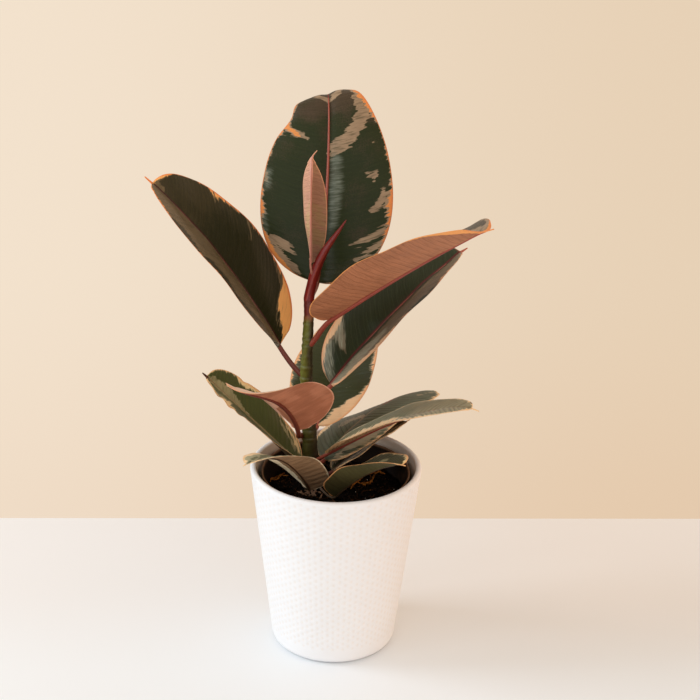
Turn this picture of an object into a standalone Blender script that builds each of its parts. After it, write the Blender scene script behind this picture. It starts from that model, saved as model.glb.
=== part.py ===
"""Variegated rubber plant in a nursery pot, standing in a white ceramic cover pot.

Metres, +Z up. The origin is the centre of the cover pot's flat underside. +X is the side of
the long lower right leaf, and -Y is the side that the two folded front leaves lean to.
Compass directions of stalks and leaves are degrees from +X, counted towards +Y.
"""
import math
from dataclasses import dataclass

import bmesh
import bpy
import numpy as np
from mathutils import Vector

# Gap between pieces that touch, and the distance below which points are one
GAP = 0.0003
MERGE_DISTANCE = 0.00001
SHARP_ANGLE = 35

# Cover pot
POT_HEIGHT = 0.160
POT_RIM_RADIUS = 0.070
POT_FOOT_RADIUS = 0.051
POT_WALL = 0.005
POT_FLOOR = 0.006
POT_FOOT_ROUND = 0.007
POT_INNER_ROUND = 0.005
POT_SEGMENTS = 72

# Nursery pot, which stands on the floor of the cover pot
NURSERY_RIM_Z = 0.154
NURSERY_RIM_RADIUS = 0.0595
NURSERY_FOOT_RADIUS = 0.0415
NURSERY_WALL = 0.0012
NURSERY_LIP = 0.0012
NURSERY_LIP_DEPTH = 0.006
NURSERY_SEGMENTS = 48
DRAIN_HOLES = 6
DRAIN_RADIUS = 0.004
DRAIN_CIRCLE = 0.027
DRAIN_SIDES = 16
DRILL_REACH = 0.004

# Potting mix
SOIL_Z = 0.1385
SOIL_RINGS = 9
SOIL_RELIEF = 0.0004
SOIL_SINK = 0.003
SOIL_WAVES = 7
SOIL_WAVE_LENGTHS = (0.010, 0.028)
SEED = 7

# Stem: height, sideways place and radius along its centre line
STEM_FOOT_Z = 0.105
STEM_TOP_Z = 0.303
STEM_HEIGHTS = (0.105, 0.140, 0.173, 0.193, 0.237, 0.260, 0.290, 0.303)
STEM_PLACES = (-0.0190, -0.0195, -0.0212, -0.0222, -0.0250, -0.0244, -0.0234, -0.0234)
STEM_RADII = (0.0068, 0.0067, 0.0062, 0.0055, 0.0049, 0.0044, 0.0039, 0.0041)
STEM_SIDES = 14
STEM_RING_STEP = 0.0085
SCAR_HEIGHT = 0.0003
SCAR_WIDTH = 0.0016
SCAR_REACH = 1.6
CLOSEST_RINGS = 0.0012
OLD_SCARS = (0.246, 0.270, 0.283)

# Bud sheath: points of its centre line and its radius there
SHEATH_POINTS = (
    (-0.0234, 0.0, 0.3033),
    (-0.0234, 0.0, 0.3050),
    (-0.0220, 0.0, 0.3130),
    (-0.0198, -0.0004, 0.3230),
    (-0.0165, -0.0008, 0.3340),
    (-0.0115, -0.0014, 0.3450),
    (-0.0052, -0.0018, 0.3550),
    (0.0010, -0.0020, 0.3645),
    (0.0046, -0.0022, 0.3705),
)
SHEATH_RADII = (0.0042, 0.0042, 0.0040, 0.0040, 0.0038, 0.0031, 0.0022, 0.0011, 0.0004)
SHEATH_SIDES = 12

# Leaf blades
BLADE_THICKNESS = 0.0009
TIP_SHARE = 0.045
DRIP_SHARE = 0.0084
DRIP_POWER = 0.7
DRIP_RISE = 6
OUTLINE_POWER = 0.92
END_HALF_WIDTH = 0.0005
HALF_COLUMNS = 3
BODY_ROWS = 17
TIP_ROWS = (0.98, 1.0)
FINE_ROWS = 201
MITRE_LIMIT = 0.35
FOLD_FADE = 0.16
LEAST_FOLD = 0.2
WAVE_HEIGHT = 0.0007
WAVE_COUNT = 2.5
DROOP_START = 0.55
DROOP_POWER = 1.3

# Leaf stalks, for a blade of the full length; a short leaf has a thinner stalk
FULL_LENGTH = 0.170
STALK_FOOT_RADIUS = 0.0026
STALK_RADIUS = 0.0019
MIDRIB_END_RADIUS = 0.0006
MIDRIB_END = 0.80
STALK_SIDES = 6
STALK_ROWS = 7
MIDRIB_ROWS = 6
MIDRIB_START = 0.03
MIDRIB_DEPTH = 0.75
STALK_PULL = (0.35, 0.10)
STALK_POWER = 0.6


@dataclass(frozen=True)
class Leaf:
    """One leaf: its stalk leaves the stem at node_z and carries the blade at reach and rise.

    Lengths in metres, angles in degrees. heading is the compass direction of the blade at its
    base and swing is how far it turns to the tip. pitch is the slope upwards, roll the turn
    about the midrib, fold how far each half is raised, and cupping how far a half curls flat
    again on its way to the margin. taper widens the base and narrows the tip, point draws the
    outer half in towards the tip, and drip is the share of the full drip tip that is left.
    """

    name: str
    node_z: float
    reach: float
    reach_direction: float
    rise: float
    length: float
    width: float
    heading: float
    swing: float
    pitch: tuple
    pitch_power: float
    roll: tuple
    fold: tuple
    cupping: float
    taper: float = 0.0
    droop: float = 0.0
    swing_power: float = 1.0
    roll_power: float = 1.0
    point: float = 0.0
    drip: float = 1.0


LEAVES = (
    Leaf("leaf_back", 0.3035, 0.019, 74, 0.0075, 0.1775, 0.101, 54, 42,
         (66, -91), 8.0, (0, -16), (13, 0), 20, taper=0.52, swing_power=0.36,
         roll_power=2.0),
    Leaf("leaf_upper_left", 0.236, 0.022, 164, 0.026, 0.173, 0.098, 177, 2,
         (60, 42), 1.4, (-13, -9), (25, 15), 6),
    Leaf("leaf_upper_right", 0.264, 0.021, 324, 0.028, 0.188, 0.105, 320, 0,
         (39, 33), 1.4, (-3, -4), (15, 25), 8),
    Leaf("leaf_right", 0.222, 0.019, 349, 0.011, 0.155, 0.088, 17, 0,
         (50, 35), 1.4, (5, -7), (24, 15), 7),
    Leaf("leaf_behind_stem", 0.190, 0.016, 68, -0.003, 0.133, 0.073, 74, -3,
         (25, 34), 1.4, (5, -25), (17, 17), 9),
    Leaf("leaf_lower_left", 0.152, 0.010, 157, 0.005, 0.111, 0.063, 170, 9,
         (43, 45), 1.4, (11, -9), (24, 16), 6, drip=0.3),
    Leaf("leaf_front_pink", 0.183, 0.0235, 249, 0.0172, 0.101, 0.0725, 227, -3.5,
         (72, -2), 0.84, (23, -12), (37, 7), 9, taper=0.83, droop=-40, swing_power=2.4,
         roll_power=3.9),
    Leaf("leaf_low_right_back", 0.157, 0.013, 38, 0.003, 0.137, 0.068, 41, 0,
         (37, -22), 1.3, (2, -43), (13, -24), 17),
    Leaf("leaf_low_right_long", 0.162, 0.017, 324, 0.013, 0.139, 0.057, 345, -7,
         (35, 4), 2.4, (-10, -5), (20, 8), 12),
    Leaf("leaf_low_right_small", 0.147, 0.017, 7, 0.006, 0.078, 0.048, 25, 2,
         (32, 14), 1.4, (-14, -21), (16, 14), 11),
    Leaf("leaf_front_left", 0.1435, 0.0183, 265, 0.0022, 0.0988, 0.056, 236, -12,
         (58.5, 3), 1.36, (4, 23), (20, 8), 11, taper=0.08, droop=12, swing_power=1.44,
         roll_power=1.2),
    Leaf("leaf_front_right", 0.1430, 0.034, 306, 0.002, 0.091, 0.050, 319, -3,
         (48, 20), 1.5, (2, -11), (37, 15), 5),
)
YOUNG_LEAF = Leaf("young_leaf", 0.322, 0.0048, 243, 0.0135, 0.092, 0.040, 265, 0,
                  (85, 91), 1.4, (-14, 6), (74, 74), 23, point=1.7)
YOUNG_STALK_SHARE = 0.75

# Material values: colour, roughness
POT_WHITE = ((0.86, 0.85, 0.83), 0.55)
NURSERY_BROWN = ((0.09, 0.055, 0.04), 0.45)
SOIL_BROWN = ((0.035, 0.022, 0.015), 0.95)
STEM_GREEN = ((0.16, 0.19, 0.05), 0.50)
SHEATH_RED = ((0.32, 0.035, 0.035), 0.35)
LEAF_GREEN = ((0.055, 0.065, 0.035), 0.30)
YOUNG_PINK = ((0.45, 0.20, 0.14), 0.40)


def clear_scene():
    """Remove every object that the scene starts with."""
    for old in list(bpy.data.objects):
        bpy.data.objects.remove(old, do_unlink=True)


def material(name, colour, roughness):
    """Make a Principled material of one colour."""
    made = bpy.data.materials.new(name)
    made.use_nodes = True
    shader = made.node_tree.nodes["Principled BSDF"]
    shader.inputs["Base Color"].default_value = (*colour, 1.0)
    shader.inputs["Roughness"].default_value = roughness
    shader.inputs["Metallic"].default_value = 0.0
    return made


def add_object(name, vertices, faces, finish=None):
    """Put a mesh of these vertices and faces into the scene, shaded smooth."""
    mesh = bpy.data.meshes.new(name)
    mesh.from_pydata([tuple(map(float, vertex)) for vertex in vertices], [], faces)
    mesh.validate()
    made = bpy.data.objects.new(name, mesh)
    bpy.context.scene.collection.objects.link(made)
    if finish:
        mesh.materials.append(finish)
    smooth(made)
    return made


def smooth(made):
    """Shade an object smooth, with its sharp edges kept."""
    made.data.shade_smooth()
    made.data.set_sharp_from_angle(angle=math.radians(SHARP_ANGLE))


def combine(target, tool, operation):
    """Apply a Boolean of the tool to the target and remove the tool."""
    step = target.modifiers.new(operation.title(), "BOOLEAN")
    step.operation = operation
    step.solver = "EXACT"
    step.object = tool
    bpy.context.view_layer.update()
    view = bpy.context.evaluated_depsgraph_get()
    result = bpy.data.meshes.new_from_object(target.evaluated_get(view))
    target.modifiers.remove(step)
    target.data = result
    bpy.data.objects.remove(tool, do_unlink=True)
    tidy_mesh(target)


def tidy_mesh(made):
    """Merge the doubles that a Boolean leaves, split faces into triangles and shade smooth."""
    work = bmesh.new()
    work.from_mesh(made.data)
    bmesh.ops.remove_doubles(work, verts=work.verts, dist=MERGE_DISTANCE)
    bmesh.ops.dissolve_degenerate(work, edges=work.edges, dist=MERGE_DISTANCE)
    bmesh.ops.triangulate(work, faces=work.faces)
    work.to_mesh(made.data)
    work.free()
    smooth(made)


def turned(name, profile, segments, finish=None):
    """Turn a profile of (radius, height) points about Z into a closed body.

    The first and the last point lie on the axis. The profile runs from the underside's centre
    up the outer side, so that the faces point outwards.
    """
    vertices = [(0.0, 0.0, profile[0][1])]
    for radius, height in profile[1:-1]:
        for step in range(segments):
            angle = 2 * math.pi * step / segments
            vertices.append((radius * math.cos(angle), radius * math.sin(angle), height))
    vertices.append((0.0, 0.0, profile[-1][1]))
    rings = len(profile) - 2
    last = len(vertices) - 1
    faces = []
    for step in range(segments):
        beside = (step + 1) % segments
        faces.append((0, 1 + beside, 1 + step))
        faces.append((last, 1 + (rings - 1) * segments + step, 1 + (rings - 1) * segments + beside))
        for ring in range(rings - 1):
            low = 1 + ring * segments
            high = low + segments
            faces.append((low + step, low + beside, high + beside, high + step))
    return add_object(name, vertices, faces, finish)


def arc(centre, radius, start, end, count):
    """Give count points of an arc in the (radius, height) plane, from start to end degrees."""
    angles = np.radians(np.linspace(start, end, count))
    return [(centre[0] + radius * math.cos(a), centre[1] + radius * math.sin(a)) for a in angles]


def pot_outer_radius(height):
    """Give the cover pot's outer radius at a height: a straight taper from foot to rim."""
    return POT_FOOT_RADIUS + (POT_RIM_RADIUS - POT_FOOT_RADIUS) * height / POT_HEIGHT


def build_cover_pot(finish):
    """Turn the cover pot: flat foot, tapered wall, round rim and a plain floor."""
    lean = math.degrees(math.atan2(POT_RIM_RADIUS - POT_FOOT_RADIUS, POT_HEIGHT))
    rim_round = POT_WALL / 2
    rim_centre = (pot_outer_radius(POT_HEIGHT) - rim_round, POT_HEIGHT - rim_round)
    foot_centre = (pot_outer_radius(POT_FOOT_ROUND) - POT_FOOT_ROUND, POT_FOOT_ROUND)
    inner_z = POT_FLOOR + POT_INNER_ROUND
    inner_centre = (pot_outer_radius(inner_z) - POT_WALL - POT_INNER_ROUND, inner_z)
    profile = [(0.0, 0.0)]
    profile += arc(foot_centre, POT_FOOT_ROUND, -90, -lean, 5)
    profile += arc(rim_centre, rim_round, -lean, 180 - lean, 7)
    profile += arc(inner_centre, POT_INNER_ROUND, -lean, -90, 4)
    profile.append((0.0, POT_FLOOR))
    return turned("cover_pot", profile, POT_SEGMENTS, finish)


def nursery_radius(height):
    """Give the nursery pot's outer radius at a height, without its lip."""
    foot = POT_FLOOR + GAP
    share = (height - foot) / (NURSERY_RIM_Z - foot)
    return NURSERY_FOOT_RADIUS + (NURSERY_RIM_RADIUS - NURSERY_FOOT_RADIUS) * share


def build_nursery_pot(finish):
    """Turn the thin nursery pot with its lip, and cut the drain holes in its floor."""
    foot = POT_FLOOR + GAP
    lip_z = NURSERY_RIM_Z - NURSERY_LIP_DEPTH
    profile = [
        (0.0, foot),
        (nursery_radius(foot), foot),
        (nursery_radius(lip_z), lip_z),
        (nursery_radius(lip_z) + NURSERY_LIP, lip_z),
        (nursery_radius(NURSERY_RIM_Z) + NURSERY_LIP, NURSERY_RIM_Z - NURSERY_WALL / 2),
        (nursery_radius(NURSERY_RIM_Z) + NURSERY_LIP - NURSERY_WALL / 2, NURSERY_RIM_Z),
        (nursery_radius(NURSERY_RIM_Z) - NURSERY_WALL / 2, NURSERY_RIM_Z),
        (nursery_radius(NURSERY_RIM_Z) - NURSERY_WALL, NURSERY_RIM_Z - NURSERY_WALL / 2),
        (nursery_radius(foot + NURSERY_WALL) - NURSERY_WALL, foot + NURSERY_WALL),
        (0.0, foot + NURSERY_WALL),
    ]
    pot = turned("nursery_pot", profile, NURSERY_SEGMENTS, finish)
    rod = [
        (0.0, -DRILL_REACH),
        (DRAIN_RADIUS, -DRILL_REACH),
        (DRAIN_RADIUS, DRILL_REACH),
        (0.0, DRILL_REACH),
    ]
    for index in range(DRAIN_HOLES):
        angle = 2 * math.pi * (index + 0.25) / DRAIN_HOLES
        drill = turned("drain_drill", rod, DRAIN_SIDES)
        drill.location = (DRAIN_CIRCLE * math.cos(angle), DRAIN_CIRCLE * math.sin(angle), foot)
        combine(pot, drill, "DIFFERENCE")
    return pot


def soil_height(x, y):
    """Give the height of the potting mix: crossed waves, sunk towards the wall of the pot."""
    rng = np.random.default_rng(SEED)
    waves = np.zeros_like(x)
    for _ in range(SOIL_WAVES):
        angle, phase = rng.uniform(0, 2 * math.pi, 2)
        length = rng.uniform(*SOIL_WAVE_LENGTHS)
        along = x * math.cos(angle) + y * math.sin(angle)
        waves += np.sin(2 * math.pi * along / length + phase)
    share = np.hypot(x, y) / NURSERY_RIM_RADIUS
    return SOIL_Z + SOIL_RELIEF * waves - SOIL_SINK * share ** 4


def build_soil(finish):
    """Fill the nursery pot with potting mix, with a plain hole for the stem."""
    bottom = POT_FLOOR + GAP + NURSERY_WALL + GAP
    clearance = NURSERY_WALL + GAP / math.cos(math.pi / NURSERY_SEGMENTS)
    outer = nursery_radius(SOIL_Z - SOIL_SINK) - clearance
    foot_radius = nursery_radius(bottom) - clearance
    angles = 2 * np.pi * np.arange(NURSERY_SEGMENTS) / NURSERY_SEGMENTS
    radii = outer * np.linspace(1.0, 0.0, SOIL_RINGS + 1)[:-1]
    rings = [np.column_stack([foot_radius * np.cos(angles), foot_radius * np.sin(angles),
                              np.full(NURSERY_SEGMENTS, bottom)])]
    for radius in radii:
        x, y = radius * np.cos(angles), radius * np.sin(angles)
        z = soil_height(x, y)
        if radius == radii[0]:
            z = np.full(NURSERY_SEGMENTS, SOIL_Z - SOIL_SINK)
        rings.append(np.column_stack([x, y, z]))
    centre = (0.0, 0.0, float(soil_height(np.zeros(1), np.zeros(1))[0]))
    vertices = [(0.0, 0.0, bottom)] + [tuple(point) for ring in rings for point in ring] + [centre]
    count = NURSERY_SEGMENTS
    last = len(vertices) - 1
    faces = []
    for step in range(count):
        beside = (step + 1) % count
        faces.append((0, 1 + beside, 1 + step))
        faces.append((last, 1 + (len(rings) - 1) * count + step, 1 + (len(rings) - 1) * count + beside))
        for ring in range(len(rings) - 1):
            low = 1 + ring * count
            high = low + count
            faces.append((low + step, low + beside, high + beside))
            faces.append((low + step, high + beside, high + step))
    soil = add_object("soil", vertices, faces, finish)
    combine(soil, stem_body("stem_hole", GAP), "DIFFERENCE")
    return soil


def tube(name, points, radii, sides, finish=None):
    """Sweep a round section along points, each with its own radius, and cap both ends."""
    points = np.asarray(points, float)
    forward = np.gradient(points, axis=0)
    forward /= np.linalg.norm(forward, axis=1)[:, None]
    side = np.cross(forward[0], (0.0, 1.0, 0.02))
    vertices = []
    for index, (point, radius) in enumerate(zip(points, radii)):
        side = side - forward[index] * (side @ forward[index])
        side /= np.linalg.norm(side)
        across = np.cross(forward[index], side)
        for step in range(sides):
            angle = 2 * math.pi * step / sides
            vertices.append(point + radius * (math.cos(angle) * side + math.sin(angle) * across))
    faces = [tuple(reversed(range(sides)))]
    for ring in range(len(points) - 1):
        for step in range(sides):
            low = ring * sides
            beside = (step + 1) % sides
            faces.append((low + step, low + beside, low + sides + beside, low + sides + step))
    faces.append(tuple(range((len(points) - 1) * sides, len(points) * sides)))
    return add_object(name, vertices, faces, finish)


def stem_place(height):
    """Give the point on the stem's centre line, or the sheath's above it, at a height."""
    if height <= STEM_TOP_Z:
        return Vector((float(np.interp(height, STEM_HEIGHTS, STEM_PLACES)), 0.0, height))
    heights = [point[2] for point in SHEATH_POINTS]
    x = float(np.interp(height, heights, [point[0] for point in SHEATH_POINTS]))
    y = float(np.interp(height, heights, [point[1] for point in SHEATH_POINTS]))
    return Vector((x, y, height))


def stem_radius(heights):
    """Give the stem's radius: its taper, with a low ring at each leaf and at each old scar."""
    radius = np.interp(heights, STEM_HEIGHTS, STEM_RADII)
    for scar in [leaf.node_z for leaf in LEAVES] + list(OLD_SCARS):
        radius = radius + SCAR_HEIGHT * np.exp(-((heights - scar) / SCAR_WIDTH) ** 2)
    return radius


def stem_heights():
    """Give the heights of the stem's rings: even steps, and three more at each scar."""
    even = np.arange(STEM_FOOT_Z, STEM_TOP_Z, STEM_RING_STEP)
    scars = np.array([leaf.node_z for leaf in LEAVES if leaf.node_z > SOIL_Z] + list(OLD_SCARS))
    near = np.concatenate([scars - SCAR_REACH * SCAR_WIDTH, scars, scars + SCAR_REACH * SCAR_WIDTH])
    rings = np.unique(np.round(np.concatenate([even, near, [STEM_TOP_Z]]), 5))
    rings = rings[rings <= STEM_TOP_Z]
    kept = [rings[0]]
    for height in rings[1:]:
        if height - kept[-1] > CLOSEST_RINGS:
            kept.append(height)
    kept[-1] = STEM_TOP_Z
    return np.array(kept)


def stem_body(name, grown, finish=None):
    """Make the stem as a tube, its radius grown by a clearance."""
    heights = stem_heights()
    if grown:
        heights[0] -= grown
        heights[-1] += grown
    points = [stem_place(min(height, STEM_TOP_Z)).xy.to_tuple() + (height,) for height in heights]
    return tube(name, points, stem_radius(heights) + grown, STEM_SIDES, finish)


def sheath_body(name, grown, finish=None):
    """Make the pointed bud sheath on top of the stem, its radius grown by a clearance."""
    points = np.array(SHEATH_POINTS)
    if grown:
        points[0][2] -= grown
    return tube(name, points, np.array(SHEATH_RADII) + grown, SHEATH_SIDES, finish)


def mix(pair, share):
    """Blend from the first value of a pair to the second."""
    return pair[0] + (pair[1] - pair[0]) * share


def half_width(leaf, share):
    """Give a blade's half width: a full ellipse that ends in a narrow drip tip."""
    body = np.clip(share / (1 - TIP_SHARE), 0, 1)
    power = OUTLINE_POWER + leaf.point * np.clip(2 * body - 1, 0, 1)
    ellipse = np.sqrt(np.clip(1 - (2 * body - 1) ** 2, 0, 1)) ** power
    blade = leaf.width / 2 * ellipse * (1 + leaf.taper * (0.5 - body))
    drip = leaf.drip * leaf.width * DRIP_SHARE * np.clip((1 - share) / TIP_SHARE, 0, 1) ** DRIP_POWER
    return blade + drip * np.clip(DRIP_RISE * share, 0, 1) + END_HALF_WIDTH * (1 - ellipse)


def midrib(leaf, share):
    """Follow the midrib: its points, its side direction, its upward direction and its own direction.

    The heading and the pitch change along the blade, and the points add up the steps.
    """
    fine = np.linspace(0, 1, FINE_ROWS)
    turn = np.radians(leaf.heading - leaf.reach_direction + leaf.swing * fine ** leaf.swing_power)
    droop = leaf.droop * np.clip((fine - DROOP_START) / (1 - DROOP_START), 0, 1) ** DROOP_POWER
    slope = np.radians(mix(leaf.pitch, fine ** leaf.pitch_power) - droop)
    ahead = np.stack([np.cos(slope) * np.cos(turn), np.cos(slope) * np.sin(turn), np.sin(slope)], -1)
    steps = (ahead[1:] + ahead[:-1]) / 2 * leaf.length / (FINE_ROWS - 1)
    line = np.vstack([np.zeros(3), np.cumsum(steps, axis=0)]) + (leaf.reach, 0.0, leaf.rise)
    level = np.stack([-np.sin(turn), np.cos(turn), np.zeros_like(turn)], -1)
    upward = np.cross(ahead, level)
    roll = np.radians(mix(leaf.roll, fine ** leaf.roll_power))[:, None]
    side = np.cos(roll) * level + np.sin(roll) * upward
    above = np.cos(roll) * upward - np.sin(roll) * level

    def at(values):
        """Read values along the blade at the wanted shares."""
        return np.stack([np.interp(share, fine, values[:, k]) for k in range(3)], -1)

    return at(line), at(side), at(above), at(ahead)


def blade_rows():
    """Give the shares of the length where the blade has a row: close together at its ends."""
    body = 0.5 * (1 - np.cos(np.linspace(0, math.pi, BODY_ROWS))) * (1 - TIP_SHARE)
    return np.concatenate([body, TIP_ROWS])


def blade_mesh(leaf):
    """Work out the blade's two faces and its rim as one closed mesh.

    Each half is an arc that starts at the fold angle and curls by the cupping. The two faces
    lie half a thickness to either side and are split into the same triangles.
    """
    share = blade_rows()
    line, side, above, _ = midrib(leaf, share)
    width = half_width(leaf, share)
    fold = np.radians(mix(leaf.fold, share)) * np.clip(width / (FOLD_FADE * leaf.width), LEAST_FOLD, 1)
    cup = math.radians(leaf.cupping)
    wave = WAVE_HEIGHT * np.sin(2 * math.pi * WAVE_COUNT * share) * width * 2 / leaf.width
    upper, lower = [], []
    for column in np.linspace(-1, 1, 2 * HALF_COLUMNS + 1):
        out = abs(column)
        hand = np.sign(column)
        chord = fold - cup * out / 2
        reach = width * out * np.sinc(cup * out / (2 * math.pi))
        across = (reach * np.cos(chord) * hand)[:, None] * side
        up = (reach * np.sin(chord) + wave * out ** 2)[:, None] * above
        tilt = fold - cup * out
        normal = -(hand * np.sin(tilt))[:, None] * side + np.cos(tilt)[:, None] * above
        half = BLADE_THICKNESS / 2
        if out == 0:
            normal = above / np.maximum(np.cos(fold), MITRE_LIMIT)[:, None]
        upper.append(line + across + up + half * normal)
        lower.append(line + across + up - half * normal)
    rows, columns = len(share), len(upper)
    vertices = np.concatenate([np.concatenate(upper), np.concatenate(lower)])
    below = rows * columns
    faces = []
    for column in range(columns - 1):
        for row in range(rows - 1):
            a = column * rows + row
            b, c, d = a + 1, a + rows + 1, a + rows
            faces += [(a, b, c), (a, c, d)]
            faces += [(below + c, below + b, below + a), (below + d, below + c, below + a)]
    border = [column * rows for column in range(columns)]
    border += [(columns - 1) * rows + row for row in range(1, rows)]
    border += [column * rows + rows - 1 for column in range(columns - 2, -1, -1)]
    border += list(range(rows - 2, 0, -1))
    for here, there in zip(border, border[1:] + border[:1]):
        faces += [(here, there, below + there), (here, below + there, below + here)]
    return vertices, faces


def stalk_mesh_points(leaf, thickness_share):
    """Give the stalk's centre line and radii, from inside the stem to far along the midrib."""
    scale = min(1.0, leaf.length / FULL_LENGTH) ** 0.5 * thickness_share
    share = np.linspace(MIDRIB_START, MIDRIB_END, MIDRIB_ROWS)
    line, _, above, ahead = midrib(leaf, np.concatenate([[0.0], share]))
    rib_radii = scale * mix((STALK_RADIUS, MIDRIB_END_RADIUS / scale), share / MIDRIB_END)
    rib = line[1:] - above[1:] * (MIDRIB_DEPTH * rib_radii)[:, None]
    end = line[0] - above[0] * MIDRIB_DEPTH * STALK_RADIUS * scale
    span = math.hypot(leaf.reach, leaf.rise)
    out_share, up_share = STALK_PULL
    pull = np.array([out_share * leaf.reach, 0.0, up_share * span])
    push = end - ahead[0] * out_share * span
    t = np.linspace(0, 1, STALK_ROWS)[:, None]
    curve = 3 * (1 - t) ** 2 * t * pull + 3 * (1 - t) * t ** 2 * push + t ** 3 * end
    stalk_radii = scale * mix((STALK_FOOT_RADIUS, STALK_RADIUS), t[:, 0] ** STALK_POWER)
    return np.vstack([curve, rib]), np.concatenate([stalk_radii, rib_radii])


def build_leaf(leaf, plant, finish, thickness_share=1.0):
    """Join a blade and its stalk, and cut the stalk's foot just clear of the stem."""
    vertices, faces = blade_mesh(leaf)
    made = add_object(leaf.name, vertices, faces, finish)
    made.parent = plant
    made.location = stem_place(leaf.node_z)
    made.rotation_euler = (0.0, 0.0, math.radians(leaf.reach_direction))
    points, radii = stalk_mesh_points(leaf, thickness_share)
    stalk = tube("stalk", points, radii, STALK_SIDES)
    stalk.location = made.location
    stalk.rotation_euler = made.rotation_euler
    combine(made, stalk, "UNION")
    combine(made, stem_body("stem_clearance", GAP), "DIFFERENCE")
    combine(made, sheath_body("sheath_clearance", GAP), "DIFFERENCE")
    keep_largest(made)
    return made


def keep_largest(made):
    """Drop the end of the stalk that is left inside the stem after the cut."""
    work = bmesh.new()
    work.from_mesh(made.data)
    left = set(work.verts)
    groups = []
    while left:
        group, edge = set(), [next(iter(left))]
        while edge:
            vertex = edge.pop()
            if vertex in group:
                continue
            group.add(vertex)
            edge += [link.other_vert(vertex) for link in vertex.link_edges]
        groups.append(group)
        left -= group
    groups.sort(key=len)
    for group in groups[:-1]:
        bmesh.ops.delete(work, geom=list(group), context="VERTS")
    work.to_mesh(made.data)
    work.free()


def build_stem(plant, finish):
    """Make the stem, its origin on its centre line at the potting mix."""
    made = stem_body("stem", 0.0, finish)
    origin = stem_place(SOIL_Z)
    for vertex in made.data.vertices:
        vertex.co -= origin
    made.parent = plant
    made.location = origin
    return made


def build_sheath(plant, finish):
    """Make the bud sheath, its origin on top of the stem."""
    made = sheath_body("bud_sheath", 0.0, finish)
    origin = Vector(SHEATH_POINTS[0])
    for vertex in made.data.vertices:
        vertex.co -= origin
    made.parent = plant
    made.location = origin
    return made


def main():
    """Build the pots, the potting mix and the plant."""
    clear_scene()
    plant = bpy.data.objects.new("plant", None)
    bpy.context.scene.collection.objects.link(plant)
    build_cover_pot(material("matte_white_ceramic", *POT_WHITE))
    build_nursery_pot(material("brown_plastic", *NURSERY_BROWN))
    build_soil(material("potting_mix", *SOIL_BROWN))
    build_stem(plant, material("green_stem", *STEM_GREEN))
    build_sheath(plant, material("red_sheath", *SHEATH_RED))
    leaf_finish = material("leaf", *LEAF_GREEN)
    for leaf in LEAVES:
        build_leaf(leaf, plant, leaf_finish)
    build_leaf(YOUNG_LEAF, plant, material("young_leaf", *YOUNG_PINK), YOUNG_STALK_SHARE)


main()
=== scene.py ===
"""Looks of a variegated rubber plant that stands in a white cover pot with a dimpled relief.

Metres, +Z up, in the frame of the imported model. The sizes of pots, stem and leaves are those
of the construction, and every surface here is worked out again on a finer grid. Markings and
reliefs on a leaf are measured in millimetres along and across its blade.
"""
import logging
import math
from dataclasses import dataclass, field, replace
from enum import Enum

import bpy
import numpy as np
from mathutils import Matrix, Vector


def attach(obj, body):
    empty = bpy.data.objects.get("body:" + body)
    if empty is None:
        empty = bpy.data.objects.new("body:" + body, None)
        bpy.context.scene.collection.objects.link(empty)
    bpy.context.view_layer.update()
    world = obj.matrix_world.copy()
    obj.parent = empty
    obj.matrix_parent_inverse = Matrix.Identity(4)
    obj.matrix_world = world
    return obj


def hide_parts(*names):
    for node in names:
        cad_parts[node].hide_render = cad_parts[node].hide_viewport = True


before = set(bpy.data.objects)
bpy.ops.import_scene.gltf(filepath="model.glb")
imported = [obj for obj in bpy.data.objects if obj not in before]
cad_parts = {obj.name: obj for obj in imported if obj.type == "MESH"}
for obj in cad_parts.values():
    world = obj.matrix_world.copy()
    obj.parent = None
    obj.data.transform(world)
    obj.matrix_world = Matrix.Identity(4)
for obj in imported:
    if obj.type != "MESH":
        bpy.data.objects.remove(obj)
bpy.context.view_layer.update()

LOG = logging.getLogger("rubber_plant")
MM = 0.001
Array = np.ndarray
Pair = tuple[float, float]
Triple = tuple[float, float, float]
Values = tuple[float, ...]
Colour = Triple


def tone(red: int, green: int, blue: int) -> Colour:
    """Turn a colour from eight-bit display values into linear light.

    The sRGB curve, with v from 0 to 1: ((v + 0.055) / 1.055) to the power 2.4, and v / 12.92
    for the darkest values.

    Args:
        red: Red from 0 to 255.
        green: Green from 0 to 255.
        blue: Blue from 0 to 255.

    Returns:
        The linear colour that a shader socket takes.
    """
    shares = [value / 255 for value in (red, green, blue)]
    return tuple(s / 12.92 if s <= 0.04045 else ((s + 0.055) / 1.055) ** 2.4 for s in shares)


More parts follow.
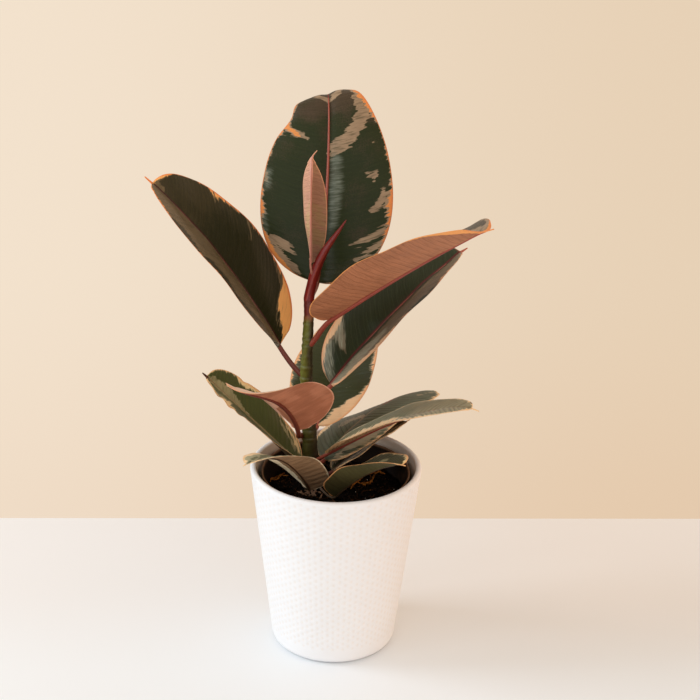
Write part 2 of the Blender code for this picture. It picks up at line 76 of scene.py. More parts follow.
class Signal:
    """A shader socket that can be reckoned with: each operator adds its Math node."""

    def __init__(self, shade: "Tree", socket: bpy.types.NodeSocket) -> None:
        """Keep the socket and the tree that it belongs to."""
        self.shade = shade
        self.socket = socket

    def math(self, operation: str, *others: "Signal | float") -> "Signal":
        """Add a Math node on this socket.

        Args:
            operation: The Math node's operation.
            others: Its further values.

        Returns:
            The result.
        """
        values = dict(enumerate((self, *others)))
        return self.shade.node("Math", {"operation": operation}, values)

    def __add__(self, other: "Signal | float") -> "Signal":
        """Sum."""
        return self.math("ADD", other)

    def __radd__(self, other: float) -> "Signal":
        """Sum with a number first."""
        return self.math("ADD", other)

    def __sub__(self, other: "Signal | float") -> "Signal":
        """Difference."""
        return self.math("SUBTRACT", other)

    def __rsub__(self, other: float) -> "Signal":
        """Difference from a number."""
        return self.math("MULTIPLY_ADD", -1.0, other)

    def __mul__(self, other: "Signal | float") -> "Signal":
        """Product."""
        return self.math("MULTIPLY", other)

    def __truediv__(self, other: "Signal | float") -> "Signal":
        """Quotient."""
        return self.math("DIVIDE", other)

    def __abs__(self) -> "Signal":
        """Size without the sign."""
        return self.math("ABSOLUTE")

    def above(self, other: "Signal | float") -> "Signal":
        """Give the larger of two values."""
        return self.math("MAXIMUM", other)

    def below(self, other: "Signal | float") -> "Signal":
        """Give the smaller of two values."""
        return self.math("MINIMUM", other)

    def rise(self, low: float, high: float) -> "Signal":
        """Ease from 0 to 1 while the value goes from low to high.

        Args:
            low: The value that gives 0. It may lie above high.
            high: The value that gives 1.

        Returns:
            The eased share.
        """
        settings = {"interpolation_type": "SMOOTHSTEP"}
        if low < high:
            return self.shade.node("MapRange", settings, {0: self, 1: low, 2: high})
        return 1.0 - self.rise(high, low)


class Tree:
    """A node tree and the ways to add to it."""

    def __init__(self, tree: bpy.types.NodeTree) -> None:
        """Keep the tree."""
        self.tree = tree

    def link(self, value: "Signal | float | Colour", socket: bpy.types.NodeSocket) -> None:
        """Give a socket its link or its value.

        Args:
            value: What the socket gets. A colour gets an alpha of 1.
            socket: The socket.
        """
        if isinstance(value, Signal):
            self.tree.links.new(value.socket, socket)
        elif isinstance(value, tuple) and socket.type == "RGBA":
            socket.default_value = (*value, 1.0)
        else:
            socket.default_value = value

    def node(self, kind: str, settings: dict | None = None, values: dict | None = None,
             output: int | str = 0) -> Signal:
        """Add any node.

        Args:
            kind: The node's type without its "ShaderNode".
            settings: Its own settings, which are set first.
            values: Values or links of its sockets, by place or name.
            output: The output wanted.

        Returns:
            That output.
        """
        made = self.tree.nodes.new("ShaderNode" + kind)
        for key, value in (settings or {}).items():
            setattr(made, key, value)
        for key, value in (values or {}).items():
            self.link(value, made.inputs[key])
        return Signal(self, made.outputs[output])

    def attribute(self, name: str) -> tuple[Signal, Signal, Signal]:
        """Read the three parts of a mesh attribute."""
        vector = self.node("Attribute", {"attribute_name": name}, output="Vector")
        return self.split(vector)

    def split(self, vector: Signal) -> tuple[Signal, Signal, Signal]:
        """Split a vector in its three parts."""
        made = self.node("SeparateXYZ", None, {0: vector}).socket.node
        return tuple(Signal(self, made.outputs[part]) for part in range(3))

    def place(self) -> Signal:
        """Read the Object coordinates."""
        return self.node("TexCoord", output="Object")

    def join(self, x: "Signal | float", y: "Signal | float", z: "Signal | float") -> Signal:
        """Join three values in a vector."""
        return self.node("CombineXYZ", None, {0: x, 1: y, 2: z})

    def stretch(self, vector: Signal, scale: Triple) -> Signal:
        """Multiply a vector part by part."""
        return self.node("VectorMath", {"operation": "MULTIPLY"}, {0: vector, 1: scale})

    def noise(self, vector: Signal, scale: float, detail: float = 2.0, rough: float = 0.5) -> Signal:
        """Add soft noise round zero.

        Args:
            vector: Where the noise is read.
            scale: Its cycles for each unit.
            detail: Its octaves.
            rough: The weight of the finer octaves.

        Returns:
            Noise from about -1 to 1.
        """
        values = {"Vector": vector, "Scale": scale, "Detail": detail, "Roughness": rough}
        return self.node("TexNoise", None, values) * 2.0 - 1.0

    def mix(self, share: "Signal | float", first: "Signal | Colour",
            second: "Signal | Colour", blend: str = "MIX") -> Signal:
        """Mix two colours.

        Args:
            share: How much of the second colour.
            first: The colour at share 0.
            second: The colour at share 1.
            blend: The Mix node's way of blending.

        Returns:
            The mixed colour.
        """
        settings = {"data_type": "RGBA", "blend_type": blend}
        return self.node("Mix", settings, {0: share, 6: first, 7: second}, output=2)

    def dim(self, colour: "Signal | Colour", factor: Signal) -> Signal:
        """Make a colour darker or lighter by a factor that changes over the surface."""
        grey = self.join(factor, factor, factor)
        return self.mix(1.0, colour, grey, "MULTIPLY")


class Shade(Tree):
    """One material and the nodes that make it."""

    def __init__(self, name: str) -> None:
        """Make an empty material with its Principled shader.

        Args:
            name: The material's name.
        """
        self.material = bpy.data.materials.new(name)
        self.material.use_nodes = True
        super().__init__(self.material.node_tree)
        self.shader = self.tree.nodes["Principled BSDF"]

    def bump(self, height: Signal, distance: float) -> None:
        """Feed a height map, in units of distance, to the shader's normal."""
        values = {"Height": height, "Distance": distance, "Strength": 1.0}
        self.link(self.node("Bump", None, values), self.shader.inputs["Normal"])

    def set(self, **values: "Signal | float | Colour") -> None:
        """Set the Principled shader's sockets, named with _ for each blank."""
        for name, value in values.items():
            self.link(value, self.shader.inputs[name.replace("_", " ")])


@dataclass
class Shell:
    """Closed bodies made of rings: each ring is joined to the next and each end to a pole."""

    rings: Array
    fields: dict[str, Array] = field(default_factory=dict)
    poles: Array | None = None

    def points(self, values: Array, poles: Array | None = None) -> Array:
        """Put the values of all bodies in one list, each followed by those at its two poles.

        Args:
            values: Values of (body, ring, column, part).
            poles: Values of (body, 2, part), or None for the mean of the end rings.

        Returns:
            Values of (point, part).
        """
        bodies, _, _, parts = values.shape
        if poles is None:
            poles = np.stack([values[:, 0].mean(1), values[:, -1].mean(1)], 1)
        flat = np.concatenate([values.reshape(bodies, -1, parts), poles], axis=1)
        return flat.reshape(-1, parts)

    def faces(self) -> tuple[Array, Array]:
        """Join ring to ring by quads, and each end ring to its pole by triangles.

        Returns:
            The quads and the triangles, each face as the numbers of its points.
        """
        bodies, rows, columns, _ = self.rings.shape
        start = (np.arange(bodies) * (rows * columns + 2))[:, None, None]
        row = np.arange(rows - 1)[None, :, None] * columns
        here = np.arange(columns)[None, None, :]
        beside = (here + 1) % columns
        quads = np.stack([start + row + here, start + row + beside,
                          start + row + columns + beside, start + row + columns + here], -1)
        last = (rows - 1) * columns
        foot = np.stack(np.broadcast_arrays(start + rows * columns, start + beside, start + here), -1)
        head = np.stack(np.broadcast_arrays(start + rows * columns + 1, start + last + here,
                                            start + last + beside), -1)
        return quads.reshape(-1, 4), np.concatenate([foot.reshape(-1, 3), head.reshape(-1, 3)])

    def build(self, name: str, materials: list[bpy.types.Material]) -> bpy.types.Object:
        """Make an object of this shell alone."""
        return weld(name, [self], materials)


def weld(name: str, shells: list[Shell], materials: list[bpy.types.Material]) -> bpy.types.Object:
    """Put shells in one object, each with the material of its own place in the list.

    The faces are turned outwards: the volume under them, a sum of the triple products of
    each quad's diagonals and its middle, is negative if they point in.

    Args:
        name: The object's name.
        shells: Closed shells with the same fields.
        materials: A material for each shell.

    Returns:
        The object, at the origin.
    """
    points, faces, slots, start = [], [], [], 0
    for index, shell in enumerate(shells):
        place = shell.points(shell.rings, shell.poles)
        four, three = shell.faces()
        corners = [place[four[:, k]] for k in range(4)]
        slant = np.cross(corners[2] - corners[0], corners[3] - corners[1])
        if np.einsum("ij,ij->", slant, sum(corners) / 4 - place.mean(0)) < 0:
            four, three = four[:, ::-1], three[:, ::-1]
        points.append(place)
        faces += (four + start).tolist() + (three + start).tolist()
        slots.append(np.full(len(four) + len(three), index, np.int32))
        start += len(place)
    mesh = bpy.data.meshes.new(name)
    mesh.from_pydata(np.concatenate(points), [], faces)
    mesh.polygons.foreach_set("material_index", np.concatenate(slots))
    for key in shells[0].fields:
        values = np.concatenate([shell.points(shell.fields[key]) for shell in shells])
        made = mesh.attributes.new(key, "FLOAT_VECTOR", "POINT")
        made.data.foreach_set("vector", values.astype(np.float32).ravel())
    for material in materials:
        mesh.materials.append(material)
    mesh.shade_smooth()
    mesh.update()
    piece = bpy.data.objects.new(name, mesh)
    bpy.context.scene.collection.objects.link(piece)
    return piece


def hand_over(piece: bpy.types.Object, node: str, slot: str, stands_for: bool = True) -> None:
    """Let a piece ride on the plant's one body and report it.

    Args:
        piece: The finished piece.
        node: The solid that it stands for or lies on.
        slot: The record's material slot.
        stands_for: Whether it takes the solid's place.
    """
    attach(piece, "root")
    if stands_for:
        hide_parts(node)
    LOG.info("%s: %d faces, slot %s", piece.name, len(piece.data.polygons), slot)


def unit(vectors: Array) -> Array:
    """Scale vectors to length 1."""
    return vectors / np.maximum(np.linalg.norm(vectors, axis=-1, keepdims=True), 1e-12)


def blend(pair: Pair, share: Array) -> Array:
    """Go from the first value of a pair to the second."""
    return pair[0] + (pair[1] - pair[0]) * share


def ease(value: Array, low: float, high: float) -> Array:
    """Ease from 0 to 1 between two values: 3t^2 - 2t^3, with t the share of the way."""
    share = np.clip((value - low) / (high - low), 0, 1)
    return share * share * (3 - 2 * share)


def spread_out(*parts: Array) -> Array:
    """Bring parts to one shape and join them as the parts of vectors."""
    return np.stack(np.broadcast_arrays(*parts), -1)


def bell(value: Array, middle: float, width: float) -> Array:
    """Give exp(-t^2), with t the distance from the middle as a share of the width."""
    return np.exp(-((value - middle) / width) ** 2)


def angles(count: int) -> Array:
    """Give evenly spaced angles of one full turn, in radians."""
    return 2 * math.pi * np.arange(count) / count


def wave_sum(x: Array, y: Array, lengths: Pair, count: int, seed: int) -> Array:
    """Sum sine waves of random direction, length and phase: sin(2 pi d / length + phase).

    Args:
        x: One coordinate of the points.
        y: The other coordinate.
        lengths: Least and largest wave length.
        count: How many waves.
        seed: Seed of the draw.

    Returns:
        The sum at each point.
    """
    rng = np.random.default_rng(seed)
    total = np.zeros(np.broadcast(x, y).shape)
    for _ in range(count):
        angle, phase = rng.uniform(0, 2 * math.pi, 2)
        length = rng.uniform(*lengths)
        total += np.sin(2 * math.pi * (x * math.cos(angle) + y * math.sin(angle)) / length + phase)
    return total


def ripples(x: Array, y: Array, lengths: Pair, count: int, seed: int) -> Array:
    """Scale a sum of waves to a spread of about 1, by the root of half their number."""
    return wave_sum(x, y, lengths, count, seed) / math.sqrt(count / 2)


def sweep(line: Array, radii: Array, side: Array, sides: int) -> Array:
    """Carry a round section along a line.

    A ring's points are line + r (cos a * side + sin a * (forward x side)), with the side
    vector first made square to the line.

    Args:
        line: Points of (body, row, 3).
        radii: The section's radius at each row.
        side: A vector across the line, for each row or for all.
        sides: Points of a ring.

    Returns:
        Rings of (body, row, side, 3).
    """
    forward = unit(np.gradient(line, axis=-2))
    side = unit(side - forward * np.sum(side * forward, -1, keepdims=True))
    across = np.cross(forward, side)
    angle = angles(sides)
    turn = np.cos(angle)[:, None] * side[..., None, :] + np.sin(angle)[:, None] * across[..., None, :]
    return line[..., None, :] + radii[..., None, None] * turn


def arc(centre: Pair, radius: float, start: float, end: float, count: int) -> Array:
    """Give points of an arc in the (radius, height) plane, from start to end degrees."""
    turn = np.radians(np.linspace(start, end, count))
    return np.stack([centre[0] + radius * np.cos(turn), centre[1] + radius * np.sin(turn)], -1)


def run(start: Array, end: Array, step: float) -> Array:
    """Give evenly spaced points between two points, without the two."""
    count = max(2, int(np.linalg.norm(end - start) / step))
    return start + (end - start) * (np.arange(1, count) / count)[:, None]


def turned(profile: Array, columns: int) -> Array:
    """Turn a profile about Z into the rings of one body.

    Args:
        profile: Points of (radius, height).
        columns: Points of a ring.

    Returns:
        Rings of (1, row, column, 3).
    """
    radius, height = profile[:, 0, None], profile[:, 1, None]
    angle = angles(columns)
    return spread_out(radius * np.cos(angle), radius * np.sin(angle), height)[None]


@dataclass(frozen=True)
class Ceramic:
    """Matte white glaze over a fine-grained body, with painted shade in the dimples and a darker inside."""

    white: Colour = tone(243, 243, 244)
    # Painted shade of the dimples, darker and warmer than the glaze.
    dimple_shade: Colour = tone(236, 226, 216)
    # The inside wall, partly the glaze's own tone and partly painted shade.
    inside: Colour = tone(236, 222, 204)
    roughness: float = 0.48
    refraction: float = 1.48
    cloud_scale: float = 45.0
    grain_scale: float = 1400.0
    grain: float = 0.00004

    def material(self) -> bpy.types.Material:
        """Make the glaze: grain by noise; by the relief attribute, painted shade in the dimples
        and a darker, warmer inside that is partly painted shade.

        Returns:
            The material.
        """
        shade = Shade("matte_white_glaze")
        dent, inner, _ = shade.attribute("relief")
        spot = shade.place()
        cloud = shade.noise(spot, self.cloud_scale, 3.0)
        fine = shade.noise(spot, self.grain_scale)
        # Painted shade: the dimples darker and warmer.
        glaze = shade.mix(dent * 0.5, self.white, self.dimple_shade)
        # The inside wall darker and warmer: partly its own tone, partly painted shade.
        glaze = shade.mix(inner, glaze, self.inside)
        glaze = shade.dim(glaze, 1.0 + cloud * 0.012)
        shade.set(Base_Color=glaze, Roughness=self.roughness + fine * 0.05 + dent * 0.06)
        shade.set(IOR=self.refraction)
        shade.bump(fine, self.grain)
        return shade.material


@dataclass(frozen=True)
class Plastic:
    """Thin brown nursery plastic, dusty and scuffed at the lip."""

    brown: Colour = tone(27, 17, 9)
    dust: Colour = tone(150, 116, 90)
    roughness: float = 0.55
    shine: float = 0.04
    dusty_lip: Pair = (0.1522, 0.1538)
    grain_scale: float = 900.0
    grain: float = 0.00005

    def material(self) -> bpy.types.Material:
        """Make the plastic: dust gathers by noise, most near the lip.

        Returns:
            The material.
        """
        shade = Shade("nursery_plastic")
        spot = shade.place()
        _, _, height = shade.split(spot)
        patch = shade.noise(spot, 60.0, 4.0, 0.6)
        lip = height.rise(*self.dusty_lip)
        dust = (lip * 0.7 + patch * 0.35).above(0.0).below(1.0)
        shade.set(Base_Color=shade.mix(dust, self.brown, self.dust))
        shade.set(Roughness=self.roughness + dust * 0.25, Specular_IOR_Level=self.shine)
        shade.bump(shade.noise(spot, self.grain_scale), self.grain)
        return shade.material


@dataclass(frozen=True)
class Earth:
    """Rough matter of two tones, such as potting mix, bark, straw or perlite.

    scale is the cycles of its coarse noise for each metre, and low how soon that noise turns
    from dark to light.
    """

    name: str
    dark: Colour
    light: Colour
    scale: float
    low: float = 0.35
    roughness: float = 0.9
    shine: float = 0.06
    relief: float = 0.0006

    def material(self) -> bpy.types.Material:
        """Make the crumbs: two noises, the coarse one for tone and the fine one for relief.

        Returns:
            The material.
        """
        shade = Shade(self.name)
        spot = shade.place()
        coarse = shade.noise(spot, self.scale, 4.0, 0.65)
        fine = shade.noise(spot, self.scale * 4.0, 4.0, 0.7)
        share = (coarse + fine * 0.5).rise(self.low - 0.5, self.low + 0.6)
        shade.set(Base_Color=shade.mix(share, self.dark, self.light), Specular_IOR_Level=self.shine)
        shade.set(Roughness=self.roughness - fine * 0.08)
        shade.bump(coarse * 0.6 + fine * 0.4, self.relief)
        return shade.material


@dataclass(frozen=True)
class Bark:
    """Green young bark that turns brown at its rings and crimson towards the bud.

    The three pairs are the heights over which it turns green, rust and crimson. It is darker
    low down and dark brown on its right side, in both partly its own colour and partly painted
    shade.
    """

    low: Colour = tone(42, 33, 11)
    high: Colour = tone(108, 112, 40)
    ring: Colour = tone(96, 84, 46)
    crimson: Colour = tone(112, 38, 28)
    rust: Colour = tone(140, 84, 46)
    # Dark brown of the right side, partly the bark's colour and partly painted shade.
    brown_and_side_shade: Colour = tone(42, 30, 14)
    green_from: Pair = (0.14, 0.25)
    rust_from: Pair = (0.284, 0.2905)
    crimson_from: Pair = (0.2895, 0.2925)
    roughness: float = 0.46
    relief: float = 0.00012

    def material(self) -> bpy.types.Material:
        """Make the bark: height and side for the tone, each partly painted shade, long noise for
        streaks, scars by attribute.

        Returns:
            The material.
        """
        shade = Shade("stem_bark")
        scar, shadow, right = shade.attribute("scar")
        spot = shade.place()
        _, _, height = shade.split(spot)
        streak = shade.noise(shade.stretch(spot, (1.0, 1.0, 0.06)), 900.0, 3.0, 0.6)
        patch = shade.noise(shade.stretch(spot, (1.0, 1.0, 0.4)), 120.0, 3.0, 0.6)
        pore = shade.noise(spot, 1500.0, 1.0).rise(0.42, 0.62)
        # Darker low down: partly the older bark's colour, partly painted shade under the leaves.
        skin = shade.mix(height.rise(*self.green_from), self.low, self.high)
        # Dark brown on the right side, away from the light: partly the bark's colour, partly painted shade.
        skin = shade.mix((right + patch * 0.8).rise(-0.35, 0.8) * 0.92, skin, self.brown_and_side_shade)
        skin = shade.mix(pore * 0.2, skin, self.ring)
        skin = shade.mix((height + patch * 0.004).rise(*self.rust_from), skin, self.rust)
        skin = shade.mix((height + patch * 0.001).rise(*self.crimson_from), skin, self.crimson)
        skin = shade.mix(scar * 0.16, skin, self.ring)
        skin = shade.dim(skin, (1.0 + streak * 0.22) * (1.0 - shadow * 0.25))
        shade.set(Base_Color=skin, Roughness=self.roughness + patch * 0.06)
        shade.bump(streak * 0.7 + pore * 0.3, self.relief)
        return shade.material


@dataclass(frozen=True)
class RedSkin:
    """Crimson skin of the bud sheath and of the leaf stalks."""

    name: str
    red: Colour
    pale: Colour
    dark: Colour
    roughness: float = 0.36
    relief: float = 0.00008

    def material(self) -> bpy.types.Material:
        """Make the skin: lengthwise streaks, darker blotches and a paler upper edge.

        Returns:
            The material.
        """
        shade = Shade(self.name)
        along, round_, edge = shade.attribute("grain")
        streak = shade.noise(shade.join(along * 0.05, round_ * 2.4, 3.0), 1.0, 3.0, 0.6)
        patch = shade.noise(shade.join(along * 0.12, round_ * 0.4, 8.0), 1.0, 3.0)
        skin = shade.mix((patch * 0.8).rise(-0.4, 0.7) * 0.6, self.red, self.dark)
        skin = shade.mix(edge * 0.6, skin, self.pale)
        skin = shade.dim(skin, 1.0 + streak * 0.12)
        shade.set(Base_Color=skin, Roughness=self.roughness + patch * 0.05)
        shade.bump(streak, self.relief)
        return shade.material


@dataclass(frozen=True)
class LeafTones:
    """Colours of one kind of leaf: upper face, underside, margins and ribs.

    veins is the strength of fine lines along the veins, and vein_mark how much darker each
    lateral vein of the upper face is, negative for lighter veins. rib_width is half the
    midrib's width in mm, and the upper face is brown beyond brown_from mm from the base.
    milk is the colour of a painted sheen, pale streaks that stand in for gloss highlights on the
    upper face, drip the tip's colour above, ribs how much painted shade darkens the hollows over
    the lateral veins, and dusk how much painted shade darkens the underside of the left half.
    under_tip and under_patch are the underside's colours at its tip and in its blotches.
    """

    green: Colour
    brown: Colour
    grey: Colour
    cream: Colour
    rim: Colour
    under: Colour
    under_dark: Colour
    under_rim: Colour
    rib: Colour
    under_rib: Colour
    veins: float = 0.25
    vein_mark: float = -0.1
    under_veins: float = 0.55
    under_tip: Colour | None = None
    under_patch: Colour | None = None
    # The colour of a painted sheen, which stands in for gloss highlights.
    painted_sheen: Colour = tone(112, 116, 100)
    drip: Colour | None = None
    rib_width: float = 1.1
    brown_from: float = 900.0
    # Painted shade in the hollows over the lateral veins.
    vein_hollow_shade: float = 0.0
    # Painted shade on the underside of the left half.
    left_half_shade: float = 0.0


# The milk colours are those of a painted sheen that stands in for gloss highlights.
DARK = LeafTones(
    green=tone(44, 49, 25), brown=tone(72, 59, 44), grey=tone(158, 132, 104), cream=tone(228, 146, 80),
    rim=tone(228, 134, 74), under=tone(172, 114, 82), under_dark=tone(112, 66, 42),
    under_rim=tone(240, 164, 96), rib=tone(112, 42, 38), under_rib=tone(168, 48, 44),
    rib_width=0.6, brown_from=116.0, painted_sheen=tone(124, 128, 112))
BRONZE = replace(
    DARK, green=tone(36, 36, 14), brown=tone(54, 49, 27), grey=tone(104, 90, 64), cream=tone(255, 186, 110),
    rim=tone(240, 140, 76), rib=tone(60, 28, 22), vein_mark=-0.2, veins=0.3, rib_width=1.9, brown_from=96.0)
STRIPED = replace(
    DARK, green=tone(48, 54, 34), brown=tone(58, 54, 38), grey=tone(122, 104, 82), cream=tone(234, 190, 146),
    rib=tone(92, 42, 38), vein_mark=-0.3, veins=0.45, rib_width=2.8, brown_from=900.0,
    painted_sheen=tone(176, 176, 152), drip=tone(168, 72, 54), rim=tone(234, 170, 122))
MIDDLE = LeafTones(
    green=tone(54, 58, 32), brown=tone(56, 50, 26), grey=tone(130, 124, 98), cream=tone(236, 194, 148),
    rim=tone(238, 176, 124), under=tone(190, 122, 92), under_dark=tone(150, 88, 64),
    under_rim=tone(240, 170, 130), rib=tone(120, 60, 48), under_rib=tone(160, 56, 48), under_veins=0.25)
ROSY = replace(
    MIDDLE, green=tone(150, 122, 96), brown=tone(168, 136, 110), grey=tone(206, 164, 136),
    cream=tone(240, 206, 180), under=tone(174, 112, 84), under_dark=tone(150, 92, 70),
    under_rim=tone(232, 178, 150), rib=tone(180, 96, 80), under_veins=0.16,
    under_patch=tone(184, 123, 95))
# ribs here and below sets painted shade in the hollows over the lateral veins.
PALE = LeafTones(
    green=tone(84, 94, 70), brown=tone(76, 80, 56), grey=tone(156, 150, 120), cream=tone(246, 216, 170),
    rim=tone(246, 206, 154), under=tone(148, 114, 82), under_dark=tone(84, 60, 40),
    under_rim=tone(232, 180, 128), rib=tone(132, 116, 88), under_rib=tone(96, 52, 40),
    vein_mark=0.35, veins=0.4, vein_hollow_shade=0.25)
SILVER = replace(
    PALE, green=tone(128, 132, 104), brown=tone(158, 152, 121), grey=tone(200, 192, 158),
    under=tone(190, 150, 112), under_rim=tone(246, 206, 160), vein_mark=0.2, vein_hollow_shade=0.28, veins=0.7,
    brown_from=62.0)
MOSS = replace(
    PALE, green=tone(94, 102, 80), brown=tone(82, 84, 62), grey=tone(160, 148, 120), veins=0.7, vein_hollow_shade=0.10)
SALLOW = replace(
    PALE, green=tone(80, 78, 48), brown=tone(92, 76, 50), grey=tone(170, 150, 120), painted_sheen=tone(150, 134, 106),
    under=tone(92, 70, 48), vein_hollow_shade=0.06)
DUN = replace(
    PALE, green=tone(112, 114, 84), brown=tone(100, 98, 68), grey=tone(176, 172, 138),
    under=tone(142, 110, 80), under_veins=0.5, under_rim=tone(232, 212, 176))
GREEN = LeafTones(
    green=tone(70, 80, 34), brown=tone(62, 66, 30), grey=tone(150, 146, 108), cream=tone(240, 216, 162),
    rim=tone(240, 190, 132), under=tone(78, 68, 40), under_dark=tone(50, 42, 24),
    under_rim=tone(216, 152, 98), rib=tone(146, 126, 90), under_rib=tone(64, 46, 30), veins=0.3)
OLIVE = replace(GREEN, green=tone(52, 58, 32), brown=tone(46, 46, 24), under=tone(77, 72, 44))
# dusk darkens the underside's left half as painted shade.
BLUSH = LeafTones(
    green=tone(150, 92, 70), brown=tone(120, 66, 50), grey=tone(190, 130, 104), cream=tone(226, 140, 110),
    rim=tone(226, 130, 100), under=tone(230, 172, 142), under_dark=tone(140, 92, 62),
    under_rim=tone(228, 170, 136), rib=tone(190, 84, 74), under_rib=tone(222, 160, 140),
    under_veins=0.38, under_tip=tone(206, 84, 56), under_patch=tone(204, 170, 124),
    brown_from=74.0, left_half_shade=0.5)


@dataclass(frozen=True)
class LeafSkin:
    """The finish of one blade, from its tones and the spacing of its lateral veins in mm.

    The pairs are scales of noise: cycles for each mm across the lateral veins and along them.
    """

    name: str
    tones: LeafTones
    vein_step: float
    seed: float
    gloss: float = 0.30
    shine: float = 0.13
    relief: float = 0.00011
    coarse: Pair = (0.22, 0.05)
    teeth: Pair = (0.60, 0.075)
    fray: Pair = (1.7, 0.13)
    cloud: Pair = (0.05, 0.05)
    line: Pair = (1.5, 0.035)
    speck: Pair = (1.3, 1.3)
    ridge: Pair = (0.42, 0.02)
    seed_step: float = 13.7
    brown_run: float = 30.0
    rust_pale: Colour = tone(104, 62, 38)
    rust_dark: Colour = tone(58, 34, 24)

    def material(self) -> bpy.types.Material:
        """Make the blade's two faces.

        The attribute "field" holds how far a point lies inside the cream and the grey, and
        its distance from the margin; "grain" holds the place across the lateral veins, the
        distance from the midrib along them, and the length; "face" says how far a point is
        on the underside, in a dead spot, and at the tip; "more" holds how far a point lies
        inside a painted sheen, and the distance from the margin. All are in mm. Noise that is
        stretched along the veins frays each border before it is cut sharp.

        Returns:
            The material.
        """
        shade, tones = Shade(self.name), self.tones
        cream, grey, rim = shade.attribute("field")
        across, out, along = shade.attribute("grain")
        under, dead, tip = shade.attribute("face")
        # How far a point lies inside a painted sheen streak, in mm.
        painted_sheen, _, _ = shade.attribute("more")
        reach = abs(out)
        side = out.rise(-0.2, 0.2) * 40.0
        shift = side + self.seed * self.seed_step

        def veined(scales: Pair, detail: float = 2.0, rough: float = 0.5, extra: float = 0.0) -> Signal:
            """Add noise that runs along the veins, another one for each leaf half."""
            place = shade.join(across * scales[0], reach * scales[1], shift + extra if extra else shift)
            return shade.noise(place, 1.0, detail, rough)

        coarse = veined(self.coarse)
        teeth = veined(self.teeth, rough=0.6)
        fray = veined(self.fray)
        cloud = veined(self.cloud, 3.0)
        line = veined(self.line, 3.0, 0.7)
        speck = veined(self.speck, 3.0)

        jag = coarse * 4.0 + teeth * 3.6 + fray * 1.8
        thin = (cream + rim).rise(-0.95, -0.7) * rim.rise(0.75, 0.4)
        in_cream = (cream + jag).rise(-0.20, 0.25).above(thin)
        in_grey = (grey.above(cream + 1.2) + jag * 0.9 + coarse * 0.8).rise(-0.30, 0.30)
        pulse = self._pulse(across + teeth * 0.9 + coarse * 2.5)
        late = along.rise(tones.brown_from, tones.brown_from + self.brown_run)
        browning = (cloud * 0.6 + speck * 0.4 + late * 0.5).rise(0.0, 0.6)
        deep = shade.mix(browning, tones.green, tones.brown)
        grain = (1.0 + line * tones.veins + speck * 0.22) * (1.0 - pulse * tones.vein_mark)
        # Painted shade: darker in the hollows over the lateral veins.
        wave = abs(((across + coarse * 2.0) / self.vein_step).math("FRACT") - 0.5).rise(0.1, 0.5)
        grain = grain * (1.0 - wave * tones.vein_hollow_shade)
        deep = shade.dim(deep, grain)
        tan = shade.mix((teeth + line * 0.8).rise(0.0, 0.45) * 0.55, tones.grey, deep)
        tan = shade.dim(tan, 1.0 + line * 0.28 + cloud * 0.3 + fray * 0.15)
        light = shade.mix(rim.rise(3.4, 0.6), tones.cream, tones.rim)
        light = shade.mix((teeth + line).rise(0.2, 0.7) * 0.35, light, tones.grey)
        light = shade.dim(light, 1.0 + line * 0.14 + cloud * 0.16)
        # Painted sheen: pale streaks that stand in for gloss highlights, fainter over the vein hollows.
        sheen_share = (painted_sheen + jag * 0.6).rise(-3.0, 3.2)
        sheen_share = sheen_share * (0.4 + (teeth + fray + line * 1.2).rise(-0.35, 0.5) * 0.6)
        upper = shade.mix(in_grey, deep, tan)
        upper = shade.mix(sheen_share * 0.85, upper, shade.dim(tones.painted_sheen, 1.0 - wave * tones.vein_hollow_shade))
        upper = shade.mix(in_cream, upper, light)
        wide = tones.rib_width
        upper = shade.mix(reach.rise(wide, wide * 0.5) * (1.0 - tip), upper, tones.rib)
        if tones.drip:
            upper = shade.mix(tip * 0.9, upper, tones.drip)

        ridge = abs(veined(self.ridge, extra=5.0)).rise(0.07, 0.0)
        furrow = pulse.above(ridge * 0.75)
        lower = tones.under
        if tones.under_patch:
            patch = (cloud * 1.4 + coarse + teeth * 0.6).rise(-0.1, 0.45)
            lower = shade.mix(patch * 0.8, lower, tones.under_patch)
        lower = shade.dim(lower, 1.0 + cloud * 0.3 + line * 0.16 + coarse * 0.15)
        lower = shade.mix(furrow * tones.under_veins, lower, tones.under_dark)
        # Painted shade: the underside of the left half darker.
        if tones.left_half_shade:
            lower = shade.dim(lower, 1.0 - out.rise(-0.2, 0.2) * tones.left_half_shade)
        if tones.under_tip:
            lower = shade.mix((tip + late * 0.9 + coarse * 0.3).rise(0.0, 0.8), lower, tones.under_tip)
        edge = (cream + jag * 0.5).rise(-0.4, 0.8).above(rim.rise(1.5, 0.4))
        lower = shade.mix(edge, lower, tones.under_rim)
        lower = shade.mix(reach.rise(1.6, 0.8) * (1.0 - tip), lower, tones.under_rib)

        skin = shade.mix(under.rise(0.35, 0.65), upper, lower)
        rust = shade.mix(speck.rise(-0.5, 0.5), self.rust_pale, self.rust_dark)
        skin = shade.mix((dead + fray * 0.8).rise(-0.3, 0.3), skin, rust)
        rough = self.gloss + under * 0.16 + in_cream * 0.06 + cloud * 0.05 + dead.rise(-0.3, 0.3) * 0.3
        shade.set(Base_Color=skin, Roughness=rough, Specular_IOR_Level=self.shine)
        shade.bump(line * 0.5 + speck * 0.12 - furrow * 0.5, self.relief)
        return shade.material

    def _pulse(self, across: Signal) -> Signal:
        """Give a thin line for each lateral vein: 1 on it, and fainter lines between.

        Args:
            across: The place across the veins in mm.

        Returns:
            The line's strength.
        """
        main = abs((across / self.vein_step).math("FRACT") - 0.5)
        fine = abs((across / self.vein_step * 3.0).math("FRACT") - 0.5)
        return main.rise(0.36, 0.5).above(fine.rise(0.34, 0.5) * 0.3)


